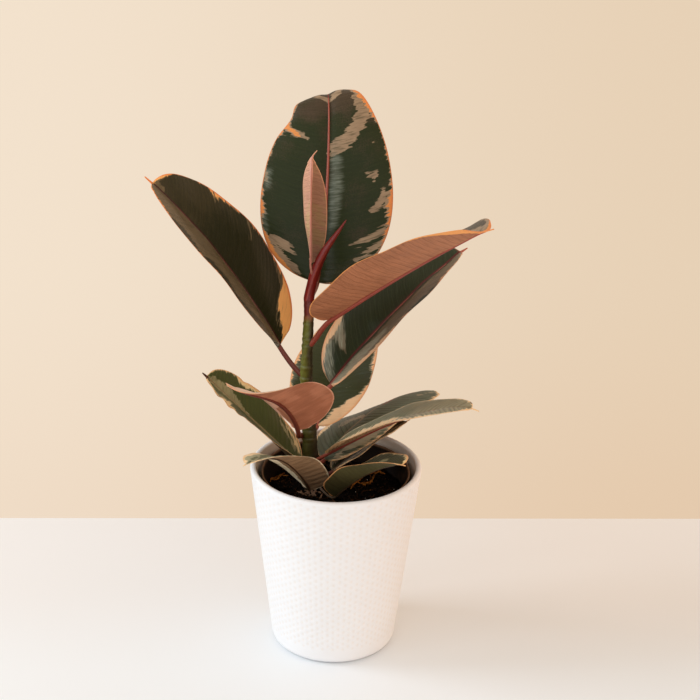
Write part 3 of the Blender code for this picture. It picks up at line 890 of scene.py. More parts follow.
class Mark(Enum):
    """What a streak on a leaf is made of, or that it is a painted sheen."""

    CREAM = 0
    GREY = 1
    GREEN = 2
    DEAD = 3
    # A painted sheen: a pale streak that stands in for a gloss highlight.
    PAINTED_SHEEN = 4


@dataclass(frozen=True)
class Streak:
    """A marking: a soft line through points of (share of length, side, half width in mm).

    The side is a share of the blade's half width, positive on the left.
    """

    mark: Mark
    points: tuple[Triple, ...]

    def depth(self, along: Array, out: Array, leaf: "Leaf") -> Array:
        """Give how far each point lies inside the streak: half width less distance, in mm.

        Args:
            along: Length from the base in mm.
            out: Distance from the midrib in mm, positive on the left.
            leaf: The leaf.

        Returns:
            The depth in mm, negative outside.
        """
        share, side, widths = np.array(self.points, float).T
        x = share * leaf.length / MM
        y = side * leaf.half_width(share) / MM
        best = np.full(np.broadcast(along, out).shape, leaf.FAR_OUTSIDE)
        for k, n in zip(range(len(x) - 1), range(1, len(x))):
            dx, dy = x[n] - x[k], y[n] - y[k]
            span = dx * dx + dy * dy
            t = np.clip(((along - x[k]) * dx + (out - y[k]) * dy) / span, 0, 1)
            width = widths[k] + (widths[n] - widths[k]) * t
            best = np.maximum(best, width - np.hypot(along - x[k] - t * dx, out - y[k] - t * dy))
        return best


@dataclass(frozen=True)
class Edge:
    """Cream and grey bands along one margin: points of (share of length, cream mm, grey mm)."""

    points: tuple[Triple, ...]

    def widths(self, share: Array) -> dict[Mark, Array]:
        """Give the width of both bands in mm at shares of the length, along straight runs."""
        shares, cream, grey = np.array(self.points, float).T
        return {Mark.CREAM: np.interp(share, shares, cream), Mark.GREY: np.interp(share, shares, grey)}


PLAIN_EDGE = Edge(((0.0, 0.6, 0.6), (1.0, 0.6, 0.6)))


class Stalk(Enum):
    """Looks of a leaf's stalk."""

    RED = "stalk_red"
    MAROON = "stalk_maroon"
    OLIVE = "stalk_olive"
    ROSE = "stalk_rose"
    RUST = "stalk_rust"


STALK_ROUGHNESS = 0.42
STALK_TONES = {
    Stalk.RED: (tone(142, 54, 42), tone(182, 96, 72), tone(96, 40, 28)),
    Stalk.MAROON: (tone(90, 34, 28), tone(136, 72, 60), tone(54, 24, 18)),
    Stalk.OLIVE: (tone(66, 48, 28), tone(96, 74, 46), tone(44, 32, 18)),
    Stalk.ROSE: (tone(206, 132, 112), tone(226, 168, 146), tone(170, 92, 72)),
    Stalk.RUST: (tone(98, 40, 28), tone(140, 68, 50), tone(78, 32, 24)),
}


@dataclass(frozen=True)
class Leaf:
    """One leaf: its stalk leaves the stem at node_z and carries the blade at reach and rise.

    Lengths in metres, angles in degrees. heading is the compass direction of the blade at its
    base and swing is how far it turns to the tip. pitch is the slope upwards, roll the turn
    about the midrib, fold how far each half is raised, and cupping how far a half curls flat
    again on its way to the margin. taper widens the base and narrows the tip, point draws the
    outer half in towards the tip, drip is the share of the full drip tip that is left, and hook
    and dip bend the tip to the left and down, in mm. least_fold is the share of the fold that
    is kept where the blade is narrow. quilt is the relief between lateral veins in mm, and lean
    gives the slope and the bend of these veins. valley raises both halves, in degrees, where
    the blade bends over near its tip, and gully is the depth and the width of the trough over
    the midrib, in mm. Each notch in the margin is (share of length, depth, width), the last
    two in mm and the depth negative on the right. stalk_pull says how far the stalk's first
    control point lies forward and sideways, as shares of the reach, and up, as a share of its
    span.

    The values in capitals are the same for every leaf. A FROM, START, PLACE or END is a share
    of the length, and a ROOM is the range in mm from the midrib or the margin over which a
    relief sets in.
    """

    name: str
    node_z: float
    reach: float
    reach_direction: float
    rise: float
    length: float
    width: float
    heading: float
    swing: float
    pitch: Pair
    pitch_power: float
    roll: Pair
    fold: Pair
    cupping: float
    taper: float = 0.0
    droop: float = 0.0
    swing_power: float = 1.0
    roll_power: float = 1.0
    point: float = 0.0
    drip: float = 1.0
    hook: float = 0.0
    dip: float = 0.0
    least_fold: float = 0.2
    tones: LeafTones = DARK
    left: Edge = PLAIN_EDGE
    right: Edge = PLAIN_EDGE
    streaks: tuple[Streak, ...] = ()
    quilt: float = 0.05
    vein_step: float = 6.5
    lean: Pair = (0.30, 0.008)
    notches: tuple[Triple, ...] = ()
    valley: float = 0.0
    gully: Pair = (0.30, 1.2)
    slot: str = "leaf"
    stalk_share: float = 1.0
    stalk_look: Stalk = Stalk.RED
    stalk_pull: Triple = (0.35, 0.0, 0.10)

    TIP_SHARE = 0.045
    DRIP_SHARE = 0.0125
    DRIP_POWER = 0.7
    DRIP_RISE = 6
    OUTLINE_POWER = 0.92
    END_HALF_WIDTH = 0.0005
    FINE_ROWS = 401
    FOLD_FADE = 0.16
    WAVE_HEIGHT = 0.0007
    WAVE_COUNT = 2.5
    DROOP_START = 0.55
    DROOP_POWER = 1.3
    THICKNESS = 0.00085
    MARGIN_THIN = 0.35
    MARGIN_ROUND = 0.6
    CREASE = 0.035
    ROW_STEP = 0.0009
    COLUMN_STEP = 0.0018
    MARGIN_COLUMNS = 8
    EVEN_ROWS = 0.45
    HOOK_FROM = 0.92
    HOOK_POWER = 1.5
    VALLEY_PLACE = 0.87
    VALLEY_WIDTH = 0.08
    QUILT_ROOM = (1.0, 6.0)
    RIM_ROOM = (0.0, 5.0)
    SLOW_HEIGHT = 0.22
    SLOW_LENGTHS = (22.0, 60.0)
    SLOW_COUNT = 5
    SLOW_ROOM = (1.0, 12.0)
    FAR_OUTSIDE = -99.0
    OUTSIDE = -9.0
    TIP_FROM = (0.94, 0.965)
    FULL_LENGTH = 0.170
    STALK_ROWS = 36
    STALK_SIDES = 16
    MIDRIB_ROWS = 70
    MIDRIB_START = 0.012
    STALK_FOOT_RADIUS = 0.0026
    STALK_RADIUS = 0.0019
    MIDRIB_END_RADIUS = 0.0005
    MIDRIB_END = 0.86
    MIDRIB_DEPTH = 0.80
    STALK_POWER = 0.6
    END_PULL = 0.35

    def half_width(self, share: Array) -> Array:
        """Give a blade's half width: a full ellipse that ends in a narrow drip tip.

        The ellipse is the root of 1 - (2b - 1)^2 to the outline power, with b the share of the
        body's length, and the drip tip narrows by its own power up to the end.

        Args:
            share: Shares of the blade's length.

        Returns:
            The half width in metres.
        """
        body = np.clip(share / (1 - self.TIP_SHARE), 0, 1)
        power = self.OUTLINE_POWER + self.point * np.clip(2 * body - 1, 0, 1)
        ellipse = np.sqrt(np.clip(1 - (2 * body - 1) ** 2, 0, 1)) ** power
        blade = self.width / 2 * ellipse * (1 + self.taper * (0.5 - body))
        drip = np.clip((1 - share) / self.TIP_SHARE, 0, 1) ** self.DRIP_POWER
        drip = self.drip * self.width * self.DRIP_SHARE * drip * np.clip(self.DRIP_RISE * share, 0, 1)
        return blade + drip + self.END_HALF_WIDTH * (1 - ellipse)

    def midrib(self, share: Array) -> tuple[Array, Array, Array, Array]:
        """Follow the midrib: its points, its side direction, its upward direction and its own.

        Heading and pitch change along the blade, and the points add up the steps. Roll turns
        the level side vector s and the upward vector u about the midrib.

        Args:
            share: Shares of the blade's length.

        Returns:
            Points, side, upward and forward vectors, each of (share, 3).
        """
        fine = np.linspace(0, 1, self.FINE_ROWS)
        turn = np.radians(self.heading - self.reach_direction + self.swing * fine ** self.swing_power)
        late = np.clip((fine - self.DROOP_START) / (1 - self.DROOP_START), 0, 1)
        slope = blend(self.pitch, fine ** self.pitch_power) - self.droop * late ** self.DROOP_POWER
        slope = np.radians(slope)
        ahead = np.stack([np.cos(slope) * np.cos(turn), np.cos(slope) * np.sin(turn), np.sin(slope)], -1)
        steps = (ahead[1:] + ahead[:-1]) / 2 * self.length / (self.FINE_ROWS - 1)
        line = np.vstack([np.zeros(3), np.cumsum(steps, axis=0)]) + (self.reach, 0.0, self.rise)
        level = np.stack([-np.sin(turn), np.cos(turn), np.zeros_like(turn)], -1)
        upward = np.cross(ahead, level)
        roll = np.radians(blend(self.roll, fine ** self.roll_power))[:, None]
        side = np.cos(roll) * level + np.sin(roll) * upward
        above = np.cos(roll) * upward - np.sin(roll) * level
        at = [np.stack([np.interp(share, fine, v[:, k]) for k in range(3)], -1)
              for v in (line, side, above, ahead)]
        return tuple(at)

    def to_plant(self, points: Array, stem: "Stem") -> Array:
        """Turn points to the leaf's compass direction and move them to its place on the stem.

        Args:
            points: Points with the leaf's direction as x.
            stem: The stem.

        Returns:
            The points in the plant's frame.
        """
        angle = math.radians(self.reach_direction)
        turn = np.array([[math.cos(angle), math.sin(angle), 0.0],
                         [-math.sin(angle), math.cos(angle), 0.0], [0.0, 0.0, 1.0]])
        return points @ turn + stem.place(self.node_z)

    def blade(self, stem: "Stem", seed: int) -> Shell:
        """Work out the blade as flat rings across it, upper face first and underside back.

        On a ring, t runs from 0 to 2 pi, the side v is a mean of cos t and a straight run
        from 1 to -1 and back, and the surface is moved along its normal by half the
        thickness times sin t, so that the margin is round. Each half is an arc that starts
        at the fold angle and curls by the cupping.

        Args:
            stem: The stem that carries the leaf.
            seed: Seed of its slow ripples.

        Returns:
            The blade with the fields that its material reads.
        """
        even = np.linspace(0, 1, int(self.length / self.ROW_STEP))
        share = self.EVEN_ROWS * even + (1 - self.EVEN_ROWS) * 0.5 * (1 - np.cos(math.pi * even))
        line, side, above, _ = (v[:, None, :] for v in self.midrib(share))
        share = share[:, None]
        bend = np.clip((share - self.HOOK_FROM) / (1 - self.HOOK_FROM), 0, 1)[..., None] ** self.HOOK_POWER
        line = line + MM * bend * (self.hook * side - self.dip * np.array([0.0, 0.0, 1.0]))
        t = angles(2 * int(self.width / self.COLUMN_STEP) + self.MARGIN_COLUMNS)[None, :]
        v = 0.5 * np.cos(t) + 0.5 * (np.abs(2 * t / math.pi - 2) - 1)
        out = np.abs(v)
        width = self._notched(share, v)
        along = share * self.length / MM * np.ones_like(v)
        far = width * v / MM
        fold = np.radians(blend(self.fold, share)
                          + self.valley * bell(share, self.VALLEY_PLACE, self.VALLEY_WIDTH))
        fold = fold * np.clip(width / (self.FOLD_FADE * self.width), self.least_fold, 1)
        cup = math.radians(self.cupping)
        soft = np.sqrt(v ** 2 + self.CREASE ** 2) - self.CREASE
        soft = soft / (math.sqrt(1 + self.CREASE ** 2) - self.CREASE)
        hand = v / np.sqrt(v ** 2 + self.CREASE ** 2)
        chord, tilt = fold - cup * out / 2, fold - cup * out
        short = np.sinc(cup * out / (2 * math.pi))
        wave = self.WAVE_HEIGHT * np.sin(2 * math.pi * self.WAVE_COUNT * share) * width * 2 / self.width
        over = (width * v * short * np.cos(chord))[..., None] * side
        up = (width * soft * short * np.sin(chord) + wave * out ** 2)[..., None] * above
        normal = unit((-hand * np.sin(tilt))[..., None] * side + np.cos(tilt)[..., None] * above)
        across = along - self.lean[0] * np.abs(far) - self.lean[1] * far ** 2
        round_ = np.sign(np.sin(t)) * np.abs(np.sin(t)) ** self.MARGIN_ROUND
        thick = self.THICKNESS / 2 * (1 - self.MARGIN_THIN * v ** 2) * round_
        lift = thick + self._relief(across, far, along, width, seed) * MM
        rings = line + over + up + lift[..., None] * normal
        fields = self._fields(across, far, along, share, v, t, width)
        return Shell(self.to_plant(rings, stem)[None], fields)

    def _notched(self, share: Array, v: Array) -> Array:
        """Give the half width with its notches: bell curves that deepen with the cube of the side.

        Args:
            share: Shares of the blade's length.
            v: Sides from 1 on the left margin to -1 on the right.

        Returns:
            The half width in metres at each point.
        """
        width = self.half_width(share) * np.ones_like(v)
        for place, depth, spread in self.notches:
            hand = np.where(v * np.sign(depth) > 0, 1.0, 0.0)
            bite = bell(share * self.length / MM, place * self.length / MM, spread) * np.abs(v) ** 3
            width = width - hand * abs(depth) * MM * bite
        return width

    def _relief(self, across: Array, far: Array, along: Array, width: Array,
                seed: int) -> Array:
        """Give the relief: a quilt between veins, a groove on the midrib, slow ripples.

        The quilt is -cos(2 pi a / s), with a the place across the veins and s their spacing,
        and the groove is a bell curve.

        Args:
            across: The place across the lateral veins in mm.
            far: Distance from the midrib in mm, positive on the left.
            along: Length from the base in mm.
            width: The half width in metres.
            seed: Seed of the ripples.

        Returns:
            The relief in mm.
        """
        wide = width / MM
        room = ease(np.abs(far), *self.QUILT_ROOM) * ease(wide - np.abs(far), *self.RIM_ROOM)
        quilt = -self.quilt * np.cos(2 * math.pi * across / self.vein_step) * room
        groove = -self.gully[0] * bell(far, 0.0, self.gully[1]) * ease(wide, *self.QUILT_ROOM)
        slow = self.SLOW_HEIGHT * ripples(along, far, self.SLOW_LENGTHS, self.SLOW_COUNT, seed)
        return quilt + groove + slow * ease(wide, *self.SLOW_ROOM)

    def _fields(self, across: Array, far: Array, along: Array, share: Array,
                v: Array, t: Array, width: Array) -> dict[str, Array]:
        """Work out what the material reads at each point, all in mm.

        Args:
            across: The place across the lateral veins in mm.
            far: Distance from the midrib in mm, positive on the left.
            along: Length from the base in mm.
            share: Shares of the blade's length.
            v: Sides from 1 on the left margin to -1 on the right.
            t: The angle round each ring, the underside beyond pi.
            width: The half width in metres.

        Returns:
            The attributes that LeafSkin.material describes.
        """
        rim = width / MM * (1 - np.abs(v))
        left, right = self.left.widths(share), self.right.widths(share)
        inside = {mark: np.where(v >= 0, left[mark], right[mark]) - rim for mark in left}
        inside[Mark.GREEN] = np.full(rim.shape, self.FAR_OUTSIDE)
        inside[Mark.DEAD] = np.full(rim.shape, self.OUTSIDE)
        # No painted sheen but where a sheen streak lies.
        inside[Mark.PAINTED_SHEEN] = np.full(rim.shape, self.OUTSIDE)
        for streak in self.streaks:
            inside[streak.mark] = np.maximum(inside[streak.mark], streak.depth(along, far, self))
        for mark in left:
            inside[mark] = np.minimum(inside[mark], -inside[Mark.GREEN])
        tip = ease(share * np.ones_like(v), *self.TIP_FROM)
        under = np.where(np.sin(t) < 0, 1.0, 0.0) * np.ones_like(width)
        under = np.where(np.abs(np.sin(t)) < 1e-6, 0.5, under)
        return {"field": spread_out(inside[Mark.CREAM], inside[Mark.GREY], rim)[None],
                "grain": spread_out(across, far, along)[None],
                "face": spread_out(under, inside[Mark.DEAD], tip)[None],
                "more": spread_out(inside[Mark.PAINTED_SHEEN], rim, rim)[None]}

    def stalk(self, stem: "Stem") -> Shell:
        """Sweep the stalk from inside the stem to the blade and on under the midrib.

        The free part is a cubic curve from the stem's centre line, and the rest follows the
        midrib at a depth that is a share of its radius. The radii grow with the root of the
        leaf's length.

        Args:
            stem: The stem that carries the leaf.

        Returns:
            The stalk with the fields that its material reads.
        """
        scale = min(1.0, self.length / self.FULL_LENGTH) ** 0.5 * self.stalk_share
        share = np.linspace(self.MIDRIB_START, self.MIDRIB_END, self.MIDRIB_ROWS)
        line, side, above, ahead = self.midrib(np.concatenate([[0.0], share]))
        rib_radii = scale * blend((self.STALK_RADIUS, self.MIDRIB_END_RADIUS / scale),
                                  share / self.MIDRIB_END)
        rib = line[1:] - above[1:] * (self.MIDRIB_DEPTH * rib_radii)[:, None]
        end = line[0] - above[0] * self.MIDRIB_DEPTH * self.STALK_RADIUS * scale
        span = math.hypot(self.reach, self.rise)
        pull = np.array(self.stalk_pull) * (self.reach, self.reach, span)
        push = end - ahead[0] * self.END_PULL * span
        t = np.linspace(0, 1, self.STALK_ROWS)[:, None]
        curve = 3 * (1 - t) ** 2 * t * pull + 3 * (1 - t) * t ** 2 * push + t ** 3 * end
        radii = scale * blend((self.STALK_FOOT_RADIUS, self.STALK_RADIUS), t[:, 0] ** self.STALK_POWER)
        whole = np.vstack([curve, rib])
        sides = np.vstack([np.repeat(side[:1], len(curve), 0), side[1:]])
        rings = sweep(whole, np.concatenate([radii, rib_radii]), sides, self.STALK_SIDES)
        steps = np.linalg.norm(np.diff(whole, axis=0), axis=1)
        run_mm = np.concatenate([[0.0], np.cumsum(steps)]) / MM
        angle = angles(self.STALK_SIDES)
        grain = spread_out(run_mm[:, None], np.abs(angle - math.pi) * 2, 0.5 + 0.5 * np.sin(angle))[None]
        zero = np.zeros_like(grain)
        fields = {"field": zero, "grain": grain, "face": zero, "more": zero}
        return Shell(self.to_plant(rings, stem)[None], fields)

    def build(self, stem: "Stem", stalks: dict[Stalk, bpy.types.Material], seed: int) -> None:
        """Make the leaf's blade and stalk in one piece and hand it over.

        Args:
            stem: The stem that carries the leaf.
            stalks: The finish of each kind of stalk.
            seed: Seed of the leaf's noise and ripples.
        """
        skin = LeafSkin(self.name + "_skin", self.tones, self.vein_step, float(seed))
        shells = [self.blade(stem, seed), self.stalk(stem)]
        piece = weld(self.name + "_foliage", shells, [skin.material(), stalks[self.stalk_look]])
        hand_over(piece, self.name, self.slot)


# Streaks marked PAINTED_SHEEN are painted sheen that stands in for gloss highlights.
LEAVES = (
    Leaf(
        "leaf_back", node_z=0.3035, reach=0.019, reach_direction=74, rise=0.0075, length=0.1775,
        width=0.101, heading=54, swing=42, pitch=(66, -91), pitch_power=8.0, roll=(0, -16), fold=(13, 0),
        cupping=20, taper=0.52, swing_power=0.36, roll_power=2.0, quilt=0.05, vein_step=4.5,
        lean=(0.08, 0.004), valley=4.0, gully=(1.5, 5.0),
        left=Edge((
            (0, 3, 1.5), (0.05, 4.5, 4), (0.13, 5, 8), (0.19, 2.8, 3), (0.23, 0.2, 1), (0.27, 1.4, 3.6),
            (0.31, 3.4, 5), (0.37, 2.6, 3.4), (0.42, 0.6, 2), (0.5, -0.6, 1), (0.66, -0.6, 1),
            (0.69, 2.5, 3.5), (0.74, 0.2, 1), (0.9, -0.5, 1.5))),
        right=Edge((
            (0, 1.5, 2.5), (0.1, 1, 3.5), (0.2, 0.8, 2.5), (0.26, 1.6, 2.5), (0.32, 3, 4),
            (0.36, 4.6, 7.5), (0.4, 2.8, 5.5), (0.45, 0.2, 1.8), (0.55, -0.6, 0.6), (0.7, -0.6, 0.6),
            (0.76, 1.6, 3.6), (0.85, 4.4, 6.4), (0.92, 3.2, 5.5))),
        streaks=(
            Streak(Mark.CREAM, ((0.735, 0.99, 6.5), (0.7, 0.8, 2.2), (0.665, 0.55, 0.2))),
            Streak(Mark.GREY, ((0.7, 0.85, 3), (0.665, 0.5, 1.8), (0.64, 0.36, 0.2))),
            Streak(Mark.GREY, ((0.17, 0.86, 4.8), (0.148, 0.68, 4.6), (0.115, 0.5, 1.4))),
            Streak(Mark.GREY, ((0.13, 0.86, 3.5), (0.07, 0.74, 3.2), (0.02, 0.7, 2.5))),
            Streak(Mark.GREY, ((0.45, 0.95, 1.8), (0.485, 0.965, 1.5))),
            Streak(Mark.PAINTED_SHEEN, ((0.49, 0.93, 2.2), (0.42, 0.92, 2.4))),
            Streak(Mark.PAINTED_SHEEN, ((0.3, 0.95, 1.5), (0.22, 0.93, 2))),
            Streak(Mark.PAINTED_SHEEN, ((0.55, -0.13, 4), (0.42, -0.15, 5), (0.26, -0.14, 2.5))),
            Streak(Mark.GREY, (
                (0.84, -0.8, 3.6), (0.76, -0.76, 4.8), (0.7, -0.55, 5), (0.645, -0.32, 5.4),
                (0.6, -0.12, 5), (0.575, -0.06, 2.8))),
            Streak(Mark.GREY, ((0.845, 0.04, 2.2), (0.87, 0.25, 2.6), (0.92, 0.62, 2.6))),
            Streak(Mark.GREY, ((0.83, -0.03, 1.6), (0.855, -0.2, 2.6), (0.915, -0.58, 3))),
            Streak(Mark.GREY, ((0.49, -0.62, 0.6), (0.49, -0.74, 1.2))),
            Streak(Mark.GREY, ((0.465, -0.72, 1), (0.5, -0.76, 0.8))),
            Streak(Mark.GREY, ((0.629, -0.77, 0.9), (0.632, -0.8, 0.6))),
            Streak(Mark.GREY, ((0.42, -0.86, 2.6), (0.385, -0.84, 3.2), (0.33, -0.72, 1.8))),
            Streak(Mark.GREY, (
                (0.285, -0.99, 2.4), (0.233, -0.8, 2.3), (0.196, -0.6, 2.2), (0.178, -0.47, 1))),
            Streak(Mark.GREY, ((0.195, -0.96, 2.4), (0.155, -0.84, 2.2), (0.12, -0.72, 1.2)))),
        notches=((0.74, 4.2, 11), (0.79, 1.8, 9))),
    Leaf(
        "leaf_upper_left", node_z=0.236, reach=0.022, reach_direction=164, rise=0.026, length=0.173,
        width=0.098, heading=177, swing=2, pitch=(60, 42), pitch_power=1.4, roll=(-13, -9), fold=(25, 15),
        cupping=6, drip=1.1, tones=BRONZE, vein_step=5.0, stalk_look=Stalk.MAROON,
        left=Edge((
            (0, 1, 30), (0.3, 0.5, 50), (0.5, 1.2, 60), (0.7, 0.9, 55), (0.9, 1.8, 40), (1, 3, 20))),
        right=Edge((
            (0, 5, 8), (0.04, 13, 18), (0.1, 21, 25), (0.16, 16, 18), (0.2, 5, 8), (0.23, 1, 5),
            (0.27, 0.4, 1.2), (0.45, 0.2, 0.6), (0.6, 1.2, 1.6), (0.67, 2.4, 2.8), (0.7, 3, 3.4),
            (0.73, 1.2, 1.6), (0.8, -1, -0.6), (0.895, -0.6, 0), (0.925, 4, 6), (0.95, 8, 16))),
        streaks=(
            Streak(Mark.CREAM, ((0.7, -0.95, 2.2), (0.675, -0.8, 0.2))),
            Streak(Mark.GREY, ((0.515, -0.98, 1.8), (0.475, -0.87, 1.5), (0.443, -0.74, 0.8))),
            Streak(Mark.GREY, ((0.27, -0.97, 2), (0.215, -0.9, 2.6))),
            Streak(Mark.GREY, ((0.97, 0, 5), (0.935, -0.12, 4), (0.9, -0.1, 2))),
            Streak(Mark.CREAM, ((0.985, -0.3, 3.2), (0.955, -0.75, 2.6))),
            Streak(Mark.GREEN, ((0, -0.2, 1.5), (0.06, -0.34, 2.4), (0.11, -0.5, 0.5))),
            Streak(Mark.GREEN, ((0.02, 0.88, 4), (0.12, 0.84, 8), (0.24, 0.84, 7), (0.36, 0.93, 3))),
            Streak(Mark.GREEN, ((0.38, 0.92, 4), (0.46, 0.86, 7), (0.56, 0.88, 6), (0.6, 0.96, 2))),
            Streak(Mark.GREEN, ((0.64, 0.96, 2), (0.72, 0.9, 5), (0.82, 0.95, 2.4))))),
    Leaf(
        "leaf_upper_right", node_z=0.264, reach=0.021, reach_direction=324, rise=0.028, length=0.188,
        width=0.105, heading=320, swing=0, pitch=(39, 33), pitch_power=1.4, roll=(-3, -4), fold=(15, 25),
        cupping=8, point=0.35, drip=1.8, dip=1.6, vein_step=5.5, lean=(0.05, 0.005),
        left=Edge((
            (0, 0.6, 1), (0.5, 0.6, 1), (0.6, -1, 2), (0.88, -1, 3), (0.92, 3, 14), (0.95, 8, 18),
            (1, 14, 24))),
        right=Edge((
            (0, 0.4, 0.4), (0.4, 0.4, 0.4), (0.62, 0.7, 0.7), (0.74, 1.2, 1.2), (0.8, 2.4, 2.4),
            (0.84, 5, 5), (0.88, 11, 12), (1, 18, 20))),
        streaks=(
            Streak(Mark.CREAM, ((0.95, 0, 4), (1, 0, 5))),
            Streak(Mark.GREY, ((0.8, 0.35, 5), (0.9, 0.45, 6))))),
    Leaf(
        "leaf_right", node_z=0.222, reach=0.019, reach_direction=349, rise=0.011, length=0.155,
        width=0.088, heading=17, swing=0, pitch=(50, 35), pitch_power=1.4, roll=(5, -7), fold=(24, 15),
        cupping=7, drip=2.2, dip=1.4, tones=STRIPED, vein_step=4.6,
        left=Edge((
            (0, 2.5, 3), (0.03, 4.5, 5.5), (0.1, 4.5, 6), (0.16, 5, 8), (0.2, 8, 11), (0.25, 7, 9),
            (0.3, 4.6, 6), (0.35, 2.4, 3.2), (0.5, 0.8, 1.2), (0.9, 0.6, 0.8), (0.97, 2, 2))),
        right=Edge((
            (0, 4, 8), (0.06, 5, 16), (0.12, 7.5, 24), (0.2, 9, 30), (0.28, 6, 34), (0.36, 8, 36),
            (0.44, 5, 37), (0.52, 3, 37), (0.6, 1, 36), (0.7, 1.6, 33), (0.8, 3, 28), (0.9, 2, 20))),
        streaks=(
            Streak(Mark.GREY, ((0.24, 0.9, 5.2), (0.2, 0.6, 4.4), (0.18, 0.4, 2.6), (0.165, 0.22, 0.4))),
            Streak(Mark.PAINTED_SHEEN, ((0.14, 0.8, 3), (0.08, 0.72, 5), (0, 0.5, 4))),
            Streak(Mark.PAINTED_SHEEN, ((0.24, 0.88, 5), (0.2, 0.6, 4), (0.18, 0.4, 1.6))),
            Streak(Mark.PAINTED_SHEEN, ((0.02, -0.45, 7), (0.2, -0.5, 13), (0.38, -0.55, 6))),
            Streak(Mark.GREEN, ((0.47, -0.99, 1.6), (0.53, -0.97, 2))),
            Streak(Mark.GREEN, ((0.57, -0.98, 2.4), (0.64, -0.94, 4), (0.74, -0.97, 2))),
            Streak(Mark.GREEN, ((0.1, -0.12, 1.5), (0.5, -0.13, 2.2), (0.8, -0.15, 1.6))))),
    Leaf(
        "leaf_behind_stem", node_z=0.190, reach=0.016, reach_direction=68, rise=-0.003, length=0.133,
        width=0.073, heading=74, swing=-3, pitch=(25, 34), pitch_power=1.4, roll=(5, -25), fold=(17, 17),
        cupping=9, tones=MIDDLE, vein_step=5.0, lean=(0.05, 0.002),
        left=Edge((
            (0, 5, 6), (0.35, 1, 2), (0.44, 2, 3), (0.5, 3, 4), (0.56, 2.6, 3.6), (0.7, 1, 2), (1, 1, 2))),
        right=Edge((
            (0, 9, 9), (0.08, 15, 15.5), (0.13, 16, 17), (0.16, 12, 13), (0.2, 10.5, 11.5),
            (0.235, 6.5, 8), (0.27, 3, 4.5), (0.34, 0.5, 1.5), (0.4, 0.6, 2), (0.45, 3.2, 5),
            (0.5, 3.4, 5), (0.6, 1.5, 2.5), (1, 1.5, 2))),
        streaks=(
            Streak(Mark.GREY, ((0.303, -0.44, 0.5), (0.31, -0.6, 0.1))),
            Streak(Mark.PAINTED_SHEEN, ((0.3, 0.98, 4), (0.42, 0.94, 5))),
            Streak(Mark.GREY, ((0.325, -0.78, 0.4), (0.33, -0.88, 0.2))))),
    Leaf(
        "leaf_lower_left", node_z=0.152, reach=0.010, reach_direction=157, rise=0.005, length=0.111,
        width=0.061, heading=170, swing=9, pitch=(43, 45), pitch_power=1.4, roll=(11, -9), fold=(24, 16),
        cupping=6, drip=2.2, tones=GREEN, quilt=0.10, vein_step=5.0, stalk_look=Stalk.OLIVE,
        left=Edge((
            (0, 3, 4), (0.3, 2.6, 3.6), (0.5, 1.6, 2.6), (0.62, 1, 2), (0.67, 1.5, 2.5), (0.72, 6, 7),
            (0.76, 9, 12), (0.82, 2, 9), (0.86, 4, 6), (0.92, 5, 7), (1, 6, 8))),
        right=Edge((
            (0, 3, 4), (0.1, 2, 4), (0.2, 2, 3), (0.3, 1.4, 2.4), (0.45, 1.2, 2), (0.57, 4, 3),
            (0.66, 6.6, 5.6), (0.74, 4.4, 3.8), (0.78, 0.4, 0.8), (0.88, 0.6, 1), (0.95, 3, 4),
            (1, 5, 6))),
        streaks=(
            Streak(Mark.GREY, (
                (0.95, 0.1, 3), (0.86, -0.05, 7), (0.76, -0.05, 7.5), (0.62, 0.08, 6), (0.45, 0.12, 4.2),
                (0.3, 0.12, 3.2), (0.05, 0.1, 2.2))),
            Streak(Mark.GREY, ((0.3, -0.75, 0.8), (0.2, -0.62, 1.5), (0.08, -0.45, 1.5))),
            Streak(Mark.CREAM, ((0.23, -0.84, 0.5), (0.15, -0.78, 1.3), (0.04, -0.68, 1.6))),
            Streak(Mark.CREAM, ((0.75, 0.95, 3), (0.71, 0.45, 0.4))),
            Streak(Mark.DEAD, ((1, 0, 3.4), (0.962, 0.5, 2.6))),
            Streak(Mark.DEAD, ((0.835, 0.97, 1.2), (0.85, 0.99, 0.8)))),
        notches=((0.79, 7, 3.6), (0.9, 4.5, 3), (0.69, 5, 3), (0.6, 3.6, 3), (0.69, -1.6, 3))),
    Leaf(
        "leaf_front_pink", node_z=0.183, reach=0.0235, reach_direction=249, rise=0.0172, length=0.101,
        width=0.0725, heading=227, swing=-3.5, pitch=(72, -2), pitch_power=0.84, roll=(23, -12),
        fold=(37, 7), cupping=9, taper=0.83, droop=-40, swing_power=2.4, roll_power=3.9, tones=ROSY,
        vein_step=5.5, lean=(0.05, 0.0), stalk_share=1.3, stalk_look=Stalk.RUST,
        stalk_pull=(0.05, -0.60, 0.12),
        left=Edge(((0, 0.6, 0.8), (0.5, 0.8, 1), (0.65, 2, 6), (0.8, 5, 12), (1, 10, 14))),
        right=Edge(((0, 2, 3), (0.12, 12, 13), (0.25, 30, 31), (0.8, 34, 34), (1, 20, 20)))),
    Leaf(
        "leaf_low_right_back", node_z=0.157, reach=0.013, reach_direction=38, rise=0.003, length=0.134,
        width=0.068, heading=41, swing=0, pitch=(37, -22), pitch_power=1.3, roll=(2, -43), fold=(13, -24),
        cupping=17, tones=MOSS, quilt=0.15, vein_step=4.4, lean=(0.45, 0.004),
        left=Edge((
            (0, 2, 3), (0.1, 1.5, 2.5), (0.17, 4.5, 6), (0.24, 6, 7.5), (0.3, 3, 5), (0.36, 0.8, 1.4),
            (0.6, 0.8, 1.4), (0.9, 1, 2), (1, 3, 4))),
        right=Edge(((0, 1.5, 3), (0.5, 0.8, 2), (0.8, 1.5, 3), (1, 4, 6))),
        streaks=(
            Streak(Mark.GREY, ((0.26, 0.45, 3), (0.33, 0.38, 4.2), (0.38, 0.1, 2.2))),
            Streak(Mark.GREY, ((0.66, 0.1, 1), (0.78, 0.35, 4), (0.93, 0.4, 5))),
